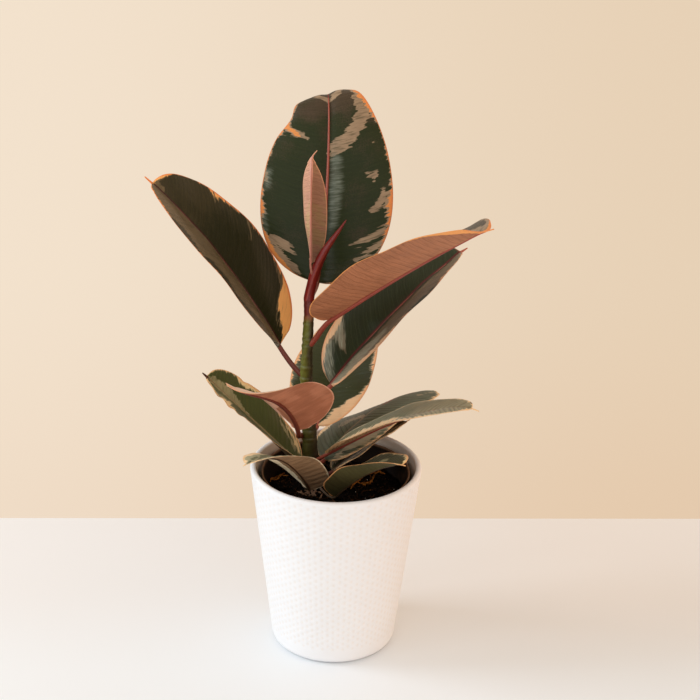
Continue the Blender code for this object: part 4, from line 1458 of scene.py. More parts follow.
            Streak(Mark.CREAM, ((0.88, 0.6, 1.2), (0.97, 0.3, 3))),
            Streak(Mark.PAINTED_SHEEN, ((0.05, 0.5, 6), (0.2, 0.7, 8), (0.34, 0.5, 5))),
            Streak(Mark.PAINTED_SHEEN, ((0.5, 0.2, 2.5), (0.66, 0.4, 3.5))),
            Streak(Mark.GREY, ((0.75, -0.45, 1), (0.86, -0.6, 1.6))),
            Streak(Mark.GREY, (
                (0.06, -0.55, 2.5), (0.22, -0.7, 5.5), (0.4, -0.72, 6), (0.55, -0.66, 2))),
            Streak(Mark.GREY, ((0.48, 0.3, 0.5), (0.49, 0.6, 0.9))))),
    Leaf(
        "leaf_low_right_long", node_z=0.162, reach=0.017, reach_direction=324, rise=0.013, length=0.139,
        width=0.057, heading=345, swing=-7, pitch=(35, 4), pitch_power=2.4, roll=(-10, -5), fold=(20, 8),
        cupping=12, dip=2.6, tones=SILVER, quilt=0.34, vein_step=4.2, lean=(0.45, 0.004), stalk_share=0.8,
        left=Edge(((0, 1.2, 2), (0.2, 0.6, 1.6), (0.5, 0.4, 0.8), (0.8, 0.5, 1), (1, 2.5, 3))),
        right=Edge((
            (0, 6, 7), (0.1, 11, 12), (0.3, 14, 15.5), (0.42, 13, 14.5), (0.5, 11, 13), (0.62, 4, 6),
            (0.75, 1.6, 2.6), (0.9, 1.2, 1.8), (1, 4, 5))),
        streaks=(
            Streak(Mark.CREAM, ((0, 0.1, 3), (0.15, 0.18, 4.2), (0.35, 0.2, 4.6), (0.5, 0.1, 0.8))),
            Streak(Mark.GREEN, ((0.52, -0.35, 3.5), (0.7, -0.55, 3))),
            Streak(Mark.DEAD, ((0.925, 1, 0.9), (0.94, 0.9, 0.4))))),
    Leaf(
        "leaf_low_right_small", node_z=0.147, reach=0.017, reach_direction=7, rise=0.006, length=0.078,
        width=0.048, heading=25, swing=2, pitch=(32, 14), pitch_power=1.4, roll=(-14, -21), fold=(16, 14),
        cupping=11, tones=SALLOW, quilt=0.08, vein_step=4.5, stalk_look=Stalk.MAROON,
        left=Edge(((0, 1.6, 3), (0.3, 1, 3), (1, 2, 3))),
        right=Edge((
            (0, 2, 3.5), (0.15, 2.4, 3.6), (0.35, 1.8, 3), (0.6, 1.6, 3), (0.8, 2.4, 3.4), (1, 3, 4))),
        streaks=(
            Streak(Mark.GREY, ((0.1, 0.4, 2.4), (0.5, 0.3, 1.6))),
            Streak(Mark.GREY, ((0.1, -0.6, 1.6), (0.45, -0.62, 3.6), (0.8, -0.5, 1.8))),
            Streak(Mark.GREY, ((0.25, -0.25, 1.6), (0.6, -0.22, 0.8))))),
    Leaf(
        "leaf_front_left", node_z=0.1435, reach=0.0183, reach_direction=265, rise=0.0022, length=0.0988,
        width=0.056, heading=236, swing=-12, pitch=(58.5, 3), pitch_power=1.36, roll=(4, 23),
        fold=(20, 8), cupping=11, taper=0.08, droop=12, swing_power=1.44, roll_power=1.2, point=0.35,
        tones=DUN, quilt=0.30, vein_step=6.0, lean=(0.35, 0.004), stalk_share=0.6, stalk_look=Stalk.OLIVE,
        left=Edge(((0, 0.9, 1.2), (0.6, 0.9, 2), (0.8, 1.2, 6), (0.9, 2.5, 10), (1, 6, 14))),
        right=Edge((
            (0, 2.5, 4), (0.15, 14, 13), (0.5, 20, 19), (0.75, 10, 16), (0.85, 3, 18), (1, 6, 20))),
        streaks=(
            Streak(Mark.CREAM, ((0.8, 0.25, 0.6), (0.98, 0.15, 1.2))),
            Streak(Mark.GREEN, ((0.84, 0.55, 1), (0.97, 0.45, 1.4))),
            Streak(Mark.GREEN, ((0.8, -0.3, 1.6), (0.95, -0.35, 1.4))))),
    Leaf(
        "leaf_front_right", node_z=0.1430, reach=0.034, reach_direction=306, rise=0.002, length=0.091,
        width=0.050, heading=319, swing=-3, pitch=(48, 20), pitch_power=1.5, roll=(2, -11), fold=(37, 15),
        cupping=5, drip=1.8, dip=1.4, tones=OLIVE, quilt=0.08, vein_step=5.0, stalk_share=0.6,
        stalk_look=Stalk.OLIVE,
        left=Edge(((0, 0.8, 1.4), (0.5, 0.9, 1.6), (0.8, 1.4, 2.6), (0.92, 4, 5), (1, 6, 7))),
        right=Edge(((0, 0.9, 1.2), (0.6, 0.9, 1.2), (0.85, 1.8, 2.4), (1, 4, 5))),
        streaks=(
            Streak(Mark.GREY, ((0.5, 0.45, 0.5), (0.65, 0.55, 1.4))),)),
    Leaf(
        "young_leaf", node_z=0.322, reach=0.0048, reach_direction=243, rise=0.0135, length=0.092,
        width=0.040, heading=265, swing=0, pitch=(85, 91), pitch_power=1.4, roll=(-14, 6), fold=(74, 74),
        cupping=23, point=1.7, hook=4.2, least_fold=0.9, tones=BLUSH, quilt=0.26, vein_step=3.4,
        lean=(-0.45, 0.0), slot="young_leaf", stalk_share=0.6, stalk_look=Stalk.ROSE),
)


@dataclass(frozen=True)
class BudSheath:
    """The pointed bud sheath on top of the stem: its centre line, its radii and its seam.

    seam_at is the seam's angle at the foot and seam_turn how far it winds up to the tip, in
    radians. The seam's step fades where the radius is less than full_radius. edge_at and
    edge_width place the pale edge along the seam, as shares of a turn.
    """

    x: Values = (-0.0234, -0.0234, -0.0220, -0.0198, -0.0165, -0.0115, -0.0052, 0.0010,
                            0.0046)
    y: Values = (0.0, 0.0, 0.0, -0.0004, -0.0008, -0.0014, -0.0018, -0.0020, -0.0022)
    z: Values = (0.3033, 0.3050, 0.3130, 0.3230, 0.3340, 0.3450, 0.3550, 0.3645, 0.3705)
    radii: Values = (0.0042, 0.0042, 0.0040, 0.0040, 0.0038, 0.0031, 0.0022, 0.0011,
                                0.0004)
    rows: int = 160
    sides: int = 32
    smoothing: int = 11
    seam_at: float = 4.2
    seam_turn: float = 1.6
    seam_step: float = 0.00028
    full_radius: float = 0.003
    edge_at: float = 0.97
    edge_width: float = 0.02
    length_mm: float = 72.0
    streaks_round: int = 3
    skin: RedSkin = RedSkin("sheath_skin", tone(136, 33, 25), tone(182, 80, 60), tone(84, 19, 14))

    def centre_line(self, share: Array, knots: Array) -> Array:
        """Round the runs between the given points off by a running mean with a Hann window.

        Args:
            share: Shares of the length, one for each ring.
            knots: The shares at which the points are given.

        Returns:
            Points of (ring, 3), with both ends kept in place.
        """
        sharp = np.stack([np.interp(share, knots, v) for v in (self.x, self.y, self.z)], -1)
        window = np.hanning(2 * self.smoothing + 1)
        padded = np.vstack([np.repeat(sharp[:1], self.smoothing, 0), sharp,
                            np.repeat(sharp[-1:], self.smoothing, 0)])
        line = np.stack([np.convolve(padded[:, k], window / window.sum(), "valid") for k in range(3)], -1)
        line[0], line[-1] = sharp[0], sharp[-1]
        return line

    def build(self) -> None:
        """Sweep the sheath, with a lapped seam that winds up its front.

        The seam is a step in the radius at an angle that turns with the height.
        """
        share = np.linspace(0, 1, self.rows)
        knots = np.linspace(0, 1, len(self.z))
        line = self.centre_line(share, knots)
        radius = np.interp(share, knots, self.radii)
        angle = angles(self.sides)
        turn = 2 * math.pi
        seam = np.mod(angle[None, :] - self.seam_at - self.seam_turn * share[:, None], turn) / turn
        step = (self.seam_step * (seam - 0.5)) * np.minimum(1, radius[:, None] / self.full_radius)
        rings = sweep(line, radius, np.array([1.0, 0.0, 0.0]), self.sides)
        rings = rings + step[..., None] * unit(rings - line[:, None, :])
        edge = bell(seam, self.edge_at, self.edge_width)
        round_ = np.abs(angle - math.pi) * self.streaks_round
        grain = spread_out((share * self.length_mm)[:, None], round_, edge)
        piece = Shell(rings[None], {"grain": grain[None]}).build("bud_sheath_skin", [self.skin.material()])
        hand_over(piece, "bud_sheath", "sheath")


@dataclass(frozen=True)
class Stem:
    """The stem's centre line, thickness and scars, and the bud sheath on top of it.

    groove_at and groove_width place the thin groove over each scar, as shares of the scar's
    width, and the knob values are the height, lengths in mm, number and seed of its ripples.
    """

    heights: Values = (0.105, 0.140, 0.173, 0.193, 0.237, 0.260, 0.290, 0.303)
    places: Values = (-0.0190, -0.0195, -0.0212, -0.0222, -0.0250, -0.0244, -0.0234, -0.0234)
    radii: Values = (0.0068, 0.0067, 0.0062, 0.0055, 0.0049, 0.0044, 0.0039, 0.0041)
    old_scars: Values = (0.246, 0.270, 0.283)
    scar_height: float = 0.0003
    scar_width: float = 0.0016
    groove_at: float = 1.3
    groove_width: float = 0.35
    groove_depth: float = 0.00022
    knob_height: float = 0.00014
    knob_lengths: Pair = (4.0, 16.0)
    knob_count: int = 8
    knob_seed: int = 5
    mean_radius_mm: float = 6.0
    rows: int = 420
    sides: int = 40
    sheath: BudSheath = BudSheath()

    def place(self, height: float) -> Array:
        """Give the point on the centre line of stem or sheath at a height.

        Args:
            height: The height in metres.

        Returns:
            The point.
        """
        if height <= self.heights[-1]:
            return np.array([np.interp(height, self.heights, self.places), 0.0, height])
        x, y = (np.interp(height, self.sheath.z, side) for side in (self.sheath.x, self.sheath.y))
        return np.array([x, y, height])

    def build(self) -> None:
        """Sweep the stem: straight runs between the given points, with a ring at each scar.

        A scar adds a bell curve exp(-(dz / width)^2) to the radius, and a thin groove lies
        just above it.
        """
        height = np.linspace(self.heights[0], self.heights[-1], self.rows)
        line = spread_out(np.interp(height, self.heights, self.places), np.zeros_like(height), height)
        scars = np.array([leaf.node_z for leaf in LEAVES if leaf.node_z < self.heights[-1]]
                         + list(self.old_scars))
        gap = (height[:, None] - scars) / self.scar_width
        swell = bell(gap, 0.0, 1.0).sum(1)
        groove = bell(gap, self.groove_at, self.groove_width).sum(1)
        radius = np.interp(height, self.heights, self.radii)
        radius = radius + self.scar_height * swell - self.groove_depth * groove
        rings = sweep(line, radius, np.array([1.0, 0.0, 0.0]), self.sides)
        angle = angles(self.sides)
        knobs = ripples(angle * self.mean_radius_mm, height[:, None] / MM, self.knob_lengths,
                        self.knob_count, self.knob_seed)
        rings = rings + (self.knob_height * knobs)[..., None] * unit(rings - line[:, None, :])
        # The third part is the side towards +X, which the bark darkens, partly as painted shade.
        scar = spread_out(np.clip(swell, 0, 1)[:, None], np.clip(groove, 0, 1)[:, None], np.cos(angle))
        piece = Shell(rings[None], {"scar": scar[None]}).build("stem_bark", [Bark().material()])
        hand_over(piece, "stem", "stem")


@dataclass(frozen=True)
class CoverPot:
    """White ceramic cover pot: tapered wall with rows of small upright dimples.

    middle is the radius of the ring round each pole. columns counts the columns of dimples and
    samples the points for each. The steps space the rings of the outer and the inner wall, and
    the glaze counts as inside from the last lip_inside rings of the lip. The powers shape a
    dimple across and along, and the relief sets in over the height fade.
    """

    height: float = 0.160
    rim_radius: float = 0.070
    foot_radius: float = 0.051
    wall: float = 0.005
    floor: float = 0.006
    foot_round: float = 0.007
    inner_round: float = 0.005
    middle: float = 0.02
    columns: int = 80
    samples: int = 6
    outer_step: float = 0.00094
    inner_step: float = 0.012
    foot_points: int = 8
    lip_points: int = 14
    lip_inside: int = 3
    inner_points: int = 6
    row_pitch: float = 0.0060
    relief_from: float = 0.0155
    relief_to: float = 0.1565
    fade: float = 0.002
    power_across: int = 16
    power_along: int = 3
    depth: float = 0.00045
    swell: float = 0.00010

    def outer(self, height: float) -> float:
        """Give the outer radius at a height."""
        return self.foot_radius + (self.rim_radius - self.foot_radius) * height / self.height

    def lean(self) -> float:
        """Give the slant of the wall in degrees."""
        return math.degrees(math.atan2(self.rim_radius - self.foot_radius, self.height))

    def profile(self) -> tuple[Array, Array, Array]:
        """Draw the outline: up from the foot, over the lip and down to the floor inside.

        Returns:
            Points of (radius, height), which of them lie on the outer wall, and which inside.
        """
        rim, lean = self.wall / 2, self.lean()
        rim_centre = (self.outer(self.height) - rim, self.height - rim)
        foot_centre = (self.outer(self.foot_round) - self.foot_round, self.foot_round)
        inner_z = self.floor + self.inner_round
        inner_centre = (self.outer(inner_z) - self.wall - self.inner_round, inner_z)
        foot = arc(foot_centre, self.foot_round, -90, -lean, self.foot_points)
        lip = arc(rim_centre, rim, -lean, 180 - lean, self.lip_points)
        inner = arc(inner_centre, self.inner_round, -lean, -90, self.inner_points)
        wall = run(foot[-1], lip[0], self.outer_step)
        points = np.vstack([[[self.middle, 0.0]], foot, wall, lip,
                            run(lip[-1], inner[0], self.inner_step), inner, [[self.middle, self.floor]]])
        place, start = np.arange(len(points)), 1 + len(foot)
        end = start + len(wall)
        return points, (place >= start) & (place < end), place >= end + len(lip) - self.lip_inside

    def build(self) -> None:
        """Turn the pot and press the dimples in.

        With c the column and r the row at a point, a dimple is |cos(pi c / 2)| times
        |cos(pi r)|, each raised to its power first. In every other column the row is half a
        step on.
        """
        profile, on_wall, inside = self.profile()
        count = self.columns * self.samples
        column = math.pi * np.arange(count)[None, :] / self.samples
        height = profile[:, 1, None]
        slope = math.sqrt(1 + math.tan(math.radians(self.lean())) ** 2)
        row = math.pi * (height - self.relief_from) / self.row_pitch * slope
        across, along = self.power_across, self.power_along
        even = np.cos(column / 2) ** across * np.abs(np.cos(row)) ** along
        odd = np.sin(column / 2) ** across * np.abs(np.sin(row)) ** along
        zone = ease(height, self.relief_from - self.fade, self.relief_from)
        zone = zone * (1 - ease(height, self.relief_to, self.relief_to + self.fade)) * on_wall[:, None]
        dent = (even + odd) * zone
        swell = np.cos(column) * np.cos(2 * row) * zone
        shift = -self.depth * dent - self.swell * (1 + swell) / 2 * zone
        angle = angles(count)
        outward = spread_out(np.cos(angle), np.sin(angle), np.zeros(count))
        rings = turned(profile, count) + shift[None, ..., None] * outward
        relief = spread_out(dent, inside[:, None], np.zeros(count))
        poles = np.array([[[0.0, 0.0, 0.0], [0.0, 0.0, self.floor]]])
        shell = Shell(rings, {"relief": relief[None]}, poles)
        piece = shell.build("cover_pot_ceramic", [Ceramic().material()])
        hand_over(piece, "cover_pot", "cover_pot")


@dataclass(frozen=True)
class NurseryPot:
    """Thin brown plastic pot inside the cover pot, with a lip and a fine bead under it.

    bead_low and bead_high are the depths of the bead's two edges under the lip.
    """

    rim_z: float = 0.154
    rim_radius: float = 0.0595
    foot_radius: float = 0.0415
    middle: float = 0.015
    wall: float = 0.0012
    lip: float = 0.0012
    lip_depth: float = 0.006
    lip_points: int = 8
    bead: float = 0.0004
    bead_low: float = 0.003
    bead_high: float = 0.002
    foot_z: float = 0.0063
    columns: int = 144

    def radius(self, height: float) -> float:
        """Give the outer radius at a height, without the lip."""
        share = (height - self.foot_z) / (self.rim_z - self.foot_z)
        return self.foot_radius + (self.rim_radius - self.foot_radius) * share

    def build(self) -> None:
        """Turn the pot: wall, bead, a round lip edge and the inner wall."""
        lip_z = self.rim_z - self.lip_depth
        low, high = lip_z - self.bead_low, lip_z - self.bead_high
        floor_z, half = self.foot_z + self.wall, self.wall / 2
        profile = np.vstack([
            [[self.middle, self.foot_z], [self.radius(self.foot_z), self.foot_z]],
            [[self.radius(low), low], [self.radius(high) + self.bead, high]],
            [[self.radius(lip_z), lip_z], [self.radius(lip_z) + self.lip, lip_z]],
            arc((self.radius(self.rim_z) + self.lip - half, self.rim_z - half), half, 0, 180,
                self.lip_points),
            [[self.radius(self.rim_z) - self.wall, self.rim_z - self.wall - half]],
            [[self.radius(floor_z) - self.wall, floor_z], [self.middle, floor_z]],
        ])
        poles = np.array([[[0.0, 0.0, self.foot_z], [0.0, 0.0, floor_z]]])
        shell = Shell(turned(profile, self.columns), {}, poles)
        piece = shell.build("nursery_pot_plastic", [Plastic().material()])
        hand_over(piece, "nursery_pot", "nursery_pot")


@dataclass(frozen=True)
class PottingMix:
    """Potting mix: an uneven surface with bark chips, straw, perlite and dry roots on it.

    A bundle of bright straws is (x, y, spread, number, heading in degrees). sink is how far
    the surface drops towards the wall, and edge_drop how much lower its outermost ring lies.
    The values in capitals give the grid of a lump or a straw and the spread of its shape, as
    shares of its size or in radians.
    """

    top: float = 0.1385
    relief: float = 0.0004
    sink: float = 0.003
    edge_drop: float = 0.001
    waves: int = 7
    lengths: Pair = (0.010, 0.028)
    seed: int = 7
    clod_height: float = 0.0005
    clod_lengths: Pair = (0.0025, 0.007)
    clod_waves: int = 14
    foot: float = 0.0078
    foot_radius: float = 0.0399
    radius: float = 0.0558
    pot_radius: float = 0.0595
    bed_middle: float = 0.0008
    bed_rings: int = 70
    bed_columns: int = 200
    stem_x: float = -0.0195
    stem_room: float = 0.009
    stem_aside: float = 0.020
    chips: int = 620
    straws: int = 170
    crumbs: int = 22
    bundles: tuple[tuple[float, float, float, int, float], ...] = (
        (0.014, 0.003, 0.0025, 3, 30.0), (0.024, 0.009, 0.003, 5, 42.0), (0.037, 0.023, 0.003, 3, 50.0),
        (-0.038, 0.018, 0.004, 3, -40.0), (-0.048, 0.014, 0.002, 2, 20.0))
    stub: Pair = (-0.0205, -0.009)
    stub_spread: float = 0.0035
    stub_count: int = 16
    white_spots: tuple[Pair, ...] = ((-0.0119, -0.0040), (-0.0028, -0.0088))

    LUMP_ROWS = 6
    LUMP_COLUMNS = 8
    LUMP_POLE = 0.6
    LUMP_DENT = 0.22
    LUMP_DENT_LIMIT = 1.5
    LUMP_SIZES = (0.5, 1.0)
    LUMP_BREADTHS = (0.35, 0.8)
    LUMP_TIP = 0.45
    LUMP_LIFTS = (0.2, 0.7)
    STRAW_ROWS = 9
    STRAW_SIDES = 6
    STRAW_BOW = 0.16
    STRAW_CHORD = 0.08
    STRAW_TAPER = 1.2
    STRAW_SLANT = 0.05
    STRAW_REST = 0.8
    STRAW_CLEAR = 0.0015
    BUNDLE_TURN = 0.35
    CHIP_SEED = 11
    STRAW_SEED = 23
    CRUMB_SEED = 41
    BUNDLE_SEED = 60
    ROOT_SEED = 77

    def surface(self, x: Array, y: Array) -> Array:
        """Give points of the surface: crossed waves, sunk towards the wall, with fine clods.

        The sinking grows with the fourth power of the distance from the middle.

        Args:
            x: One coordinate.
            y: The other coordinate.

        Returns:
            Points of (..., 3).
        """
        share = np.hypot(x, y) / self.pot_radius
        clods = self.clod_height * ripples(x, y, self.clod_lengths, self.clod_waves, self.seed + 1)
        swell = self.relief * wave_sum(x, y, self.lengths, self.waves, self.seed)
        return spread_out(x, y, self.top + swell - self.sink * share ** 4 + clods)

    def scatter(self, count: int, seed: int,
                clear: float = 0.004) -> tuple[Array, np.random.Generator]:
        """Draw places evenly over the surface, off the stem.

        Args:
            count: How many.
            seed: Seed of the draw.
            clear: Distance kept from the wall.

        Returns:
            Points of (count, 3) on the surface, and the generator.
        """
        rng = np.random.default_rng(seed)
        radius = (self.radius - clear) * np.sqrt(rng.uniform(0, 1, count))
        angle = rng.uniform(0, 2 * math.pi, count)
        x, y = radius * np.cos(angle), radius * np.sin(angle)
        near = np.hypot(x - self.stem_x, y) < self.stem_room
        return self.surface(np.where(near, x + self.stem_aside, x), y), rng

    def cluster(self, centre: Pair, spread: float, count: int, rng: np.random.Generator) -> Array:
        """Draw places on the surface round a centre, normally distributed."""
        x, y = (np.array(centre) + rng.normal(0, spread, (count, 2))).T
        return self.surface(x, y)

    def build_bed(self) -> None:
        """Make the bed: a closed body from the pot's floor up, its top on a fine round grid."""
        top = np.linspace(self.radius, self.bed_middle, self.bed_rings)
        radii = np.concatenate([[self.foot_radius / 2, self.foot_radius], top])[:, None]
        angle = angles(self.bed_columns)
        rings = self.surface(radii * np.cos(angle), radii * np.sin(angle))
        rings[:2, :, 2] = self.foot
        rings[2, :, 2] = self.top - self.sink - self.edge_drop
        poles = np.stack([[0.0, 0.0, self.foot], self.surface(np.zeros(1), np.zeros(1))[0]])[None]
        mix = Earth("potting_mix", tone(6, 4, 2), tone(34, 20, 11), 260.0)
        piece = Shell(rings[None], {}, poles).build("potting_mix", [mix.material()])
        hand_over(piece, "soil", "soil")

    @staticmethod
    def lay(name: str, rings: Array, finish: Earth) -> None:
        """Make a piece that lies on the bed and hand it over."""
        piece = Shell(rings).build(name, [finish.material()])
        hand_over(piece, "soil", "soil", stands_for=False)

    def pebbles(self, name: str, places: Array, rng: np.random.Generator, sizes: Pair,
                flat: Pair, finish: Earth) -> None:
        """Make lumps: small round grids, stretched, dented and turned at random.

        Args:
            name: The piece's name.
            places: Where they lie.
            rng: The generator.
            sizes: Least and largest half length.
            flat: Least and largest share of the height.
            finish: Their finish.
        """
        count, rows, pole = len(places), self.LUMP_ROWS, self.LUMP_POLE
        lat = (math.pi * (np.arange(rows) + pole) / (rows - 1 + 2 * pole))[None, :, None]
        lon = angles(self.LUMP_COLUMNS)[None, None, :]
        ball = spread_out(np.sin(lat) * np.cos(lon), np.sin(lat) * np.sin(lon), -np.cos(lat))
        dents = rng.normal(size=(count, rows, self.LUMP_COLUMNS, 1))
        ball = ball * (1 + self.LUMP_DENT * dents.clip(-self.LUMP_DENT_LIMIT, self.LUMP_DENT_LIMIT))
        size = rng.uniform(*sizes, count) * rng.uniform(*self.LUMP_SIZES, count)
        breadth = size * rng.uniform(*self.LUMP_BREADTHS, count)
        shape = spread_out(size, breadth, size * rng.uniform(*flat, count))
        x, y, z = np.moveaxis(ball * shape[:, None, None, :], -1, 0)
        yaw, tip = rng.uniform(0, 2 * math.pi, count), rng.normal(0, self.LUMP_TIP, count)
        cy, sy, ct, st = (f(v)[:, None, None] for v, f in
                          ((yaw, np.cos), (yaw, np.sin), (tip, np.cos), (tip, np.sin)))
        x, z = x * ct - z * st, x * st + z * ct
        rings = spread_out(x * cy - y * sy, x * sy + y * cy, z) + places[:, None, None, :]
        rings[..., 2] += (shape[:, 2] * rng.uniform(*self.LUMP_LIFTS, count))[:, None, None]
        self.lay(name, rings, finish)

    def strands(self, name: str, places: Array, rng: np.random.Generator, lengths: Pair,
                radii: Pair, finish: Earth, headings: Array | None = None,
                lift: float = 0.0003) -> None:
        """Make straws: thin tubes that lie along the surface in a shallow bend.

        With t from -1/2 to 1/2 along a straw, the bend is t^2 less a constant that brings its
        middle back, and the radius shrinks with t^2.

        Args:
            name: The piece's name.
            places: Their middles.
            rng: The generator.
            lengths: Least and largest length.
            radii: Least and largest radius.
            finish: Their finish.
            headings: Their compass directions in radians, or None for random ones.
            lift: How far they lie above the surface, on the chips.
        """
        count = len(places)
        heading = rng.uniform(0, 2 * math.pi, count) if headings is None else headings
        cos, sin = np.cos(heading)[:, None], np.sin(heading)[:, None]
        length = rng.uniform(*lengths, count)
        bow = rng.normal(0, self.STRAW_BOW, count)
        t = np.linspace(-0.5, 0.5, self.STRAW_ROWS)[None, :]
        along = t * length[:, None]
        over = (t ** 2 - self.STRAW_CHORD) * (bow * length)[:, None]
        x = places[:, 0, None] + along * cos - over * sin
        y = places[:, 1, None] + along * sin + over * cos
        shrink = np.minimum(1, (self.radius - self.STRAW_CLEAR) / np.hypot(x, y))
        radius = rng.uniform(*radii, count)[:, None] * (1 - self.STRAW_TAPER * t ** 2)
        slant = rng.normal(0, self.STRAW_SLANT, count)[:, None]
        line = self.surface(x * shrink, y * shrink)
        line[..., 2] += radius * self.STRAW_REST + np.abs(slant * along) + lift
        self.lay(name, sweep(line, radius, np.array([0.0, 0.0, 1.0]), self.STRAW_SIDES), finish)

    def build(self) -> None:
        """Make the bed and all that lies on it."""
        self.build_bed()
        chips, rng = self.scatter(self.chips, self.CHIP_SEED)
        dark = Earth("bark_dark", tone(12, 7, 4), tone(60, 36, 20), 420.0, relief=0.0003)
        self.pebbles("bark_chips", chips, rng, (0.0010, 0.0034), (0.3, 0.7), dark)
        straws, rng = self.scatter(self.straws, self.STRAW_SEED, 0.006)
        dull = Earth("straw_dull", tone(44, 27, 14), tone(132, 86, 42), 300.0, relief=0.0002)
        self.strands("dull_straws", straws, rng, (0.004, 0.014), (0.00022, 0.00055), dull)
        bright = Earth("straw_bright", tone(112, 66, 26), tone(186, 120, 52), 300.0, low=0.1, relief=0.0002)
        for place, (x, y, spread, count, heading) in enumerate(self.bundles):
            rng = np.random.default_rng(self.BUNDLE_SEED + place)
            spots = self.cluster((x, y), spread, count, rng)
            turns = math.radians(heading) + rng.normal(0, self.BUNDLE_TURN, count)
            self.strands(f"bright_straws_{place}", spots, rng, (0.009, 0.019), (0.0004, 0.0009), bright,
                         turns, 0.0018)
        roots = Earth("dry_roots", tone(120, 92, 72), tone(200, 166, 136), 500.0, relief=0.0002)
        rng = np.random.default_rng(self.ROOT_SEED)
        spots = self.cluster(self.stub, self.stub_spread, self.stub_count, rng)
        self.strands("dry_roots", spots, rng, (0.006, 0.014), (0.0004, 0.0009), roots)
        crumbs, rng = self.scatter(self.crumbs, self.CRUMB_SEED)
        crumbs = np.concatenate([crumbs, self.surface(*np.array(self.white_spots).T)])
        white = Earth("perlite", tone(200, 190, 176), tone(246, 242, 234), 500.0, low=0.1, relief=0.0003)
        self.pebbles("perlite_crumbs", crumbs, rng, (0.0004, 0.0009), (0.7, 1.0), white)


@dataclass(frozen=True)
class Pane:
    """An oblong soft light: its place, its width and height, its power in watts and its aim."""

    name: str
    place: Triple
    size: Pair
    power: float
    colour: Colour
    aim: Triple = (0.0, 0.0, 0.20)

    def hang(self) -> None:
        """Hang the light at its place and turn it to its aim."""
        lamp = bpy.data.lights.new(self.name, "AREA")
        lamp.shape = "RECTANGLE"
        lamp.size, lamp.size_y = self.size
        lamp.energy = self.power
        lamp.color = self.colour
        made = bpy.data.objects.new(self.name, lamp)
        made.location = self.place
        made.rotation_euler = (Vector(self.aim) - Vector(self.place)).to_track_quat("-Z", "Y").to_euler()
        bpy.context.scene.collection.objects.link(made)


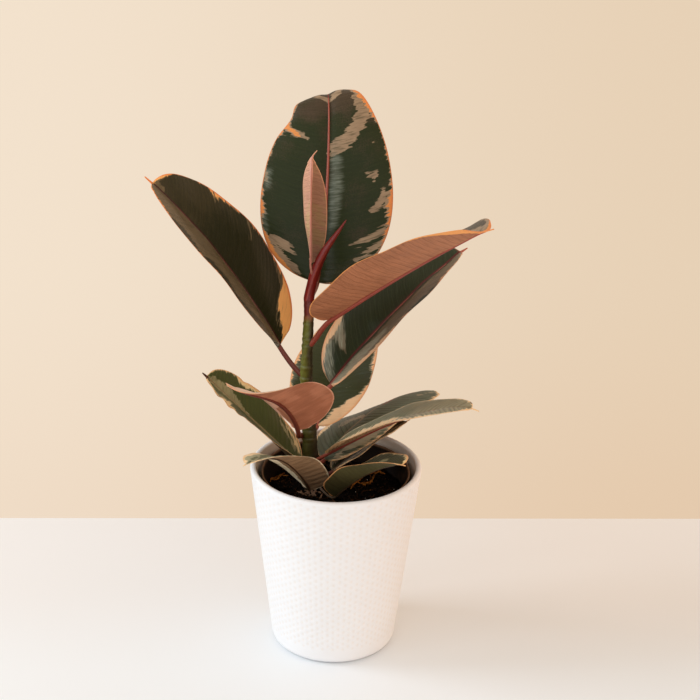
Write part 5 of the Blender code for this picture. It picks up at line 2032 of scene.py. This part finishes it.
@dataclass(frozen=True)
class Studio:
    """Table, light and camera.

    The table ends at table_back, and its edge runs askew. warm, cool and amber are the colours
    of the light all round, and the powers its strength from each side. The panes are two parts
    of a soft window, one at the left and one farther to the front.
    """

    lens: float = 90.0
    sensor: float = 36.0
    eye: Triple = (0.0, -1.2795, 0.8048)
    pitch: float = 23.021
    yaw: float = 0.428
    roll: float = 1.187
    table_back: float = 0.20124
    table_skew: float = 0.03337
    table_size: float = 3.0
    table: Colour = tone(238, 239, 240)
    # Painted light on the table: cooler and brighter to the front, warmer to the right.
    painted_cool_front: Colour = tone(241, 246, 250)
    painted_warm_right: Colour = tone(239, 235, 231)
    table_roughness: float = 0.5
    table_shine: float = 0.3
    wall_left: Colour = tone(243, 226, 205)
    wall_right: Colour = tone(231, 209, 182)
    low_left: Colour = tone(239, 219, 197)
    low_right: Colour = tone(228, 200, 170)
    warm: Colour = (1.0, 0.84, 0.68)
    cool: Colour = (0.92, 0.96, 0.99)
    amber: Colour = (1.0, 0.64, 0.42)
    above_power: float = 0.75
    behind_power: float = 0.42
    before_power: float = 1.34
    beside_power: float = 1.12
    least_power: float = 0.12
    panes: tuple[Pane, ...] = (
        Pane("left_pane", (-2.05, 0.08, 1.30), (0.9, 1.1), 21.5, (0.85, 0.96, 1.07)),
        Pane("front_pane", (-1.85, -1.00, 1.23), (0.6, 0.6), 2.7, (0.86, 0.97, 1.08)))

    def build_table(self) -> None:
        """Make the pale table top, with painted light: cooler and brighter to the front, warmer to the
        right.
        """
        half = self.table_size / 2
        slope = half * self.table_skew
        corners = [(-half, -self.table_size, 0.0), (half, -self.table_size, 0.0),
                   (half, self.table_back + slope, 0.0), (-half, self.table_back - slope, 0.0)]
        mesh = bpy.data.meshes.new("table_top")
        mesh.from_pydata(corners, [], [(0, 1, 2, 3)])
        shade = Shade("pale_table")
        spot = shade.place()
        x, y, _ = shade.split(spot)
        cloud = shade.noise(spot, 6.0, 2.0)
        # Painted light: warmer to the right, cooler and brighter to the front.
        pale = shade.mix(x.rise(0.0, 0.26), self.table, self.painted_warm_right)
        pale = shade.mix(y.rise(0.08, -0.09), pale, self.painted_cool_front)
        shade.set(Base_Color=shade.dim(pale, 1.0 + cloud * 0.006), Roughness=self.table_roughness)
        shade.set(Specular_IOR_Level=self.table_shine)
        mesh.materials.append(shade.material)
        top = bpy.data.objects.new("table_top", mesh)
        bpy.context.scene.collection.objects.link(top)

    def build_air(self) -> None:
        """Light all round, and a warm wall where the camera sees past the table.

        The light is warm and strong from above, weaker from the wall behind and from the
        right, and cool from the front left. The wall grows darker and warmer downwards.
        """
        world = bpy.data.worlds.new("studio_air")
        bpy.context.scene.world = world
        world.use_nodes = True
        air = Tree(world.node_tree)
        x, y, z = air.split(air.node("TexCoord", output="Generated"))
        above = z.rise(0.05, 0.85)
        behind = y.rise(-0.1, 0.9) * x.rise(0.75, -0.1)
        before = y.rise(0.1, -0.8) * x.rise(0.8, -0.2)
        beside = x.rise(-0.1, 0.8)
        power = above * self.above_power + (1.0 - above) * (
            behind * self.behind_power + before * self.before_power
            + beside * self.beside_power) + self.least_power
        glow = air.mix(before, self.warm, self.cool)
        glow = air.mix(beside * (1.0 - above), glow, self.amber)
        around = air.node("Background", None, {"Color": glow, "Strength": power})
        over = x.rise(-0.22, 0.22)
        down = z.rise(-0.33, -0.52)
        high = air.mix(over, self.wall_left, self.wall_right)
        low = air.mix(over, self.low_left, self.low_right)
        seen = air.node("Background", None, {"Color": air.mix(down, high, low)})
        ray = air.node("LightPath", output="Is Camera Ray")
        both = air.node("MixShader", None, {0: ray, 1: around, 2: seen})
        air.link(both, air.tree.nodes["World Output"].inputs["Surface"])

    def build_camera(self) -> None:
        """Set the camera at the photograph's place and angle."""
        pitch, yaw, roll = (math.radians(v) for v in (self.pitch, self.yaw, self.roll))
        flat = math.cos(pitch)
        forward = Vector((math.sin(yaw) * flat, math.cos(yaw) * flat, -math.sin(pitch)))
        level = Vector((math.cos(yaw), -math.sin(yaw), 0.0))
        upward = level.cross(forward)
        right = level * math.cos(roll) + upward * math.sin(roll)
        top = upward * math.cos(roll) - level * math.sin(roll)
        turn = Matrix((right, top, -forward)).transposed().to_4x4()
        data = bpy.data.cameras.new("camera")
        data.lens = self.lens
        data.sensor_width = self.sensor
        made = bpy.data.objects.new("camera", data)
        made.matrix_world = Matrix.Translation(self.eye) @ turn
        bpy.context.scene.collection.objects.link(made)
        bpy.context.scene.camera = made

    def build(self) -> None:
        """Make table, light and camera."""
        self.build_table()
        self.build_air()
        for pane in self.panes:
            pane.hang()
        self.build_camera()
        bpy.context.scene.view_settings.view_transform = "Standard"


def main() -> None:
    """Build the studio, the pots, the mix and the plant."""
    logging.basicConfig(level=logging.INFO, format="%(name)s %(message)s")
    Studio().build()
    CoverPot().build()
    NurseryPot().build()
    PottingMix().build()
    stem = Stem()
    stem.build()
    stem.sheath.build()
    stalks = {look: RedSkin(look.value, *STALK_TONES[look], STALK_ROUGHNESS).material() for look in Stalk}
    for seed, leaf in enumerate(LEAVES):
        leaf.build(stem, stalks, seed + 1)
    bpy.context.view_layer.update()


if __name__ == "__main__":
    main()
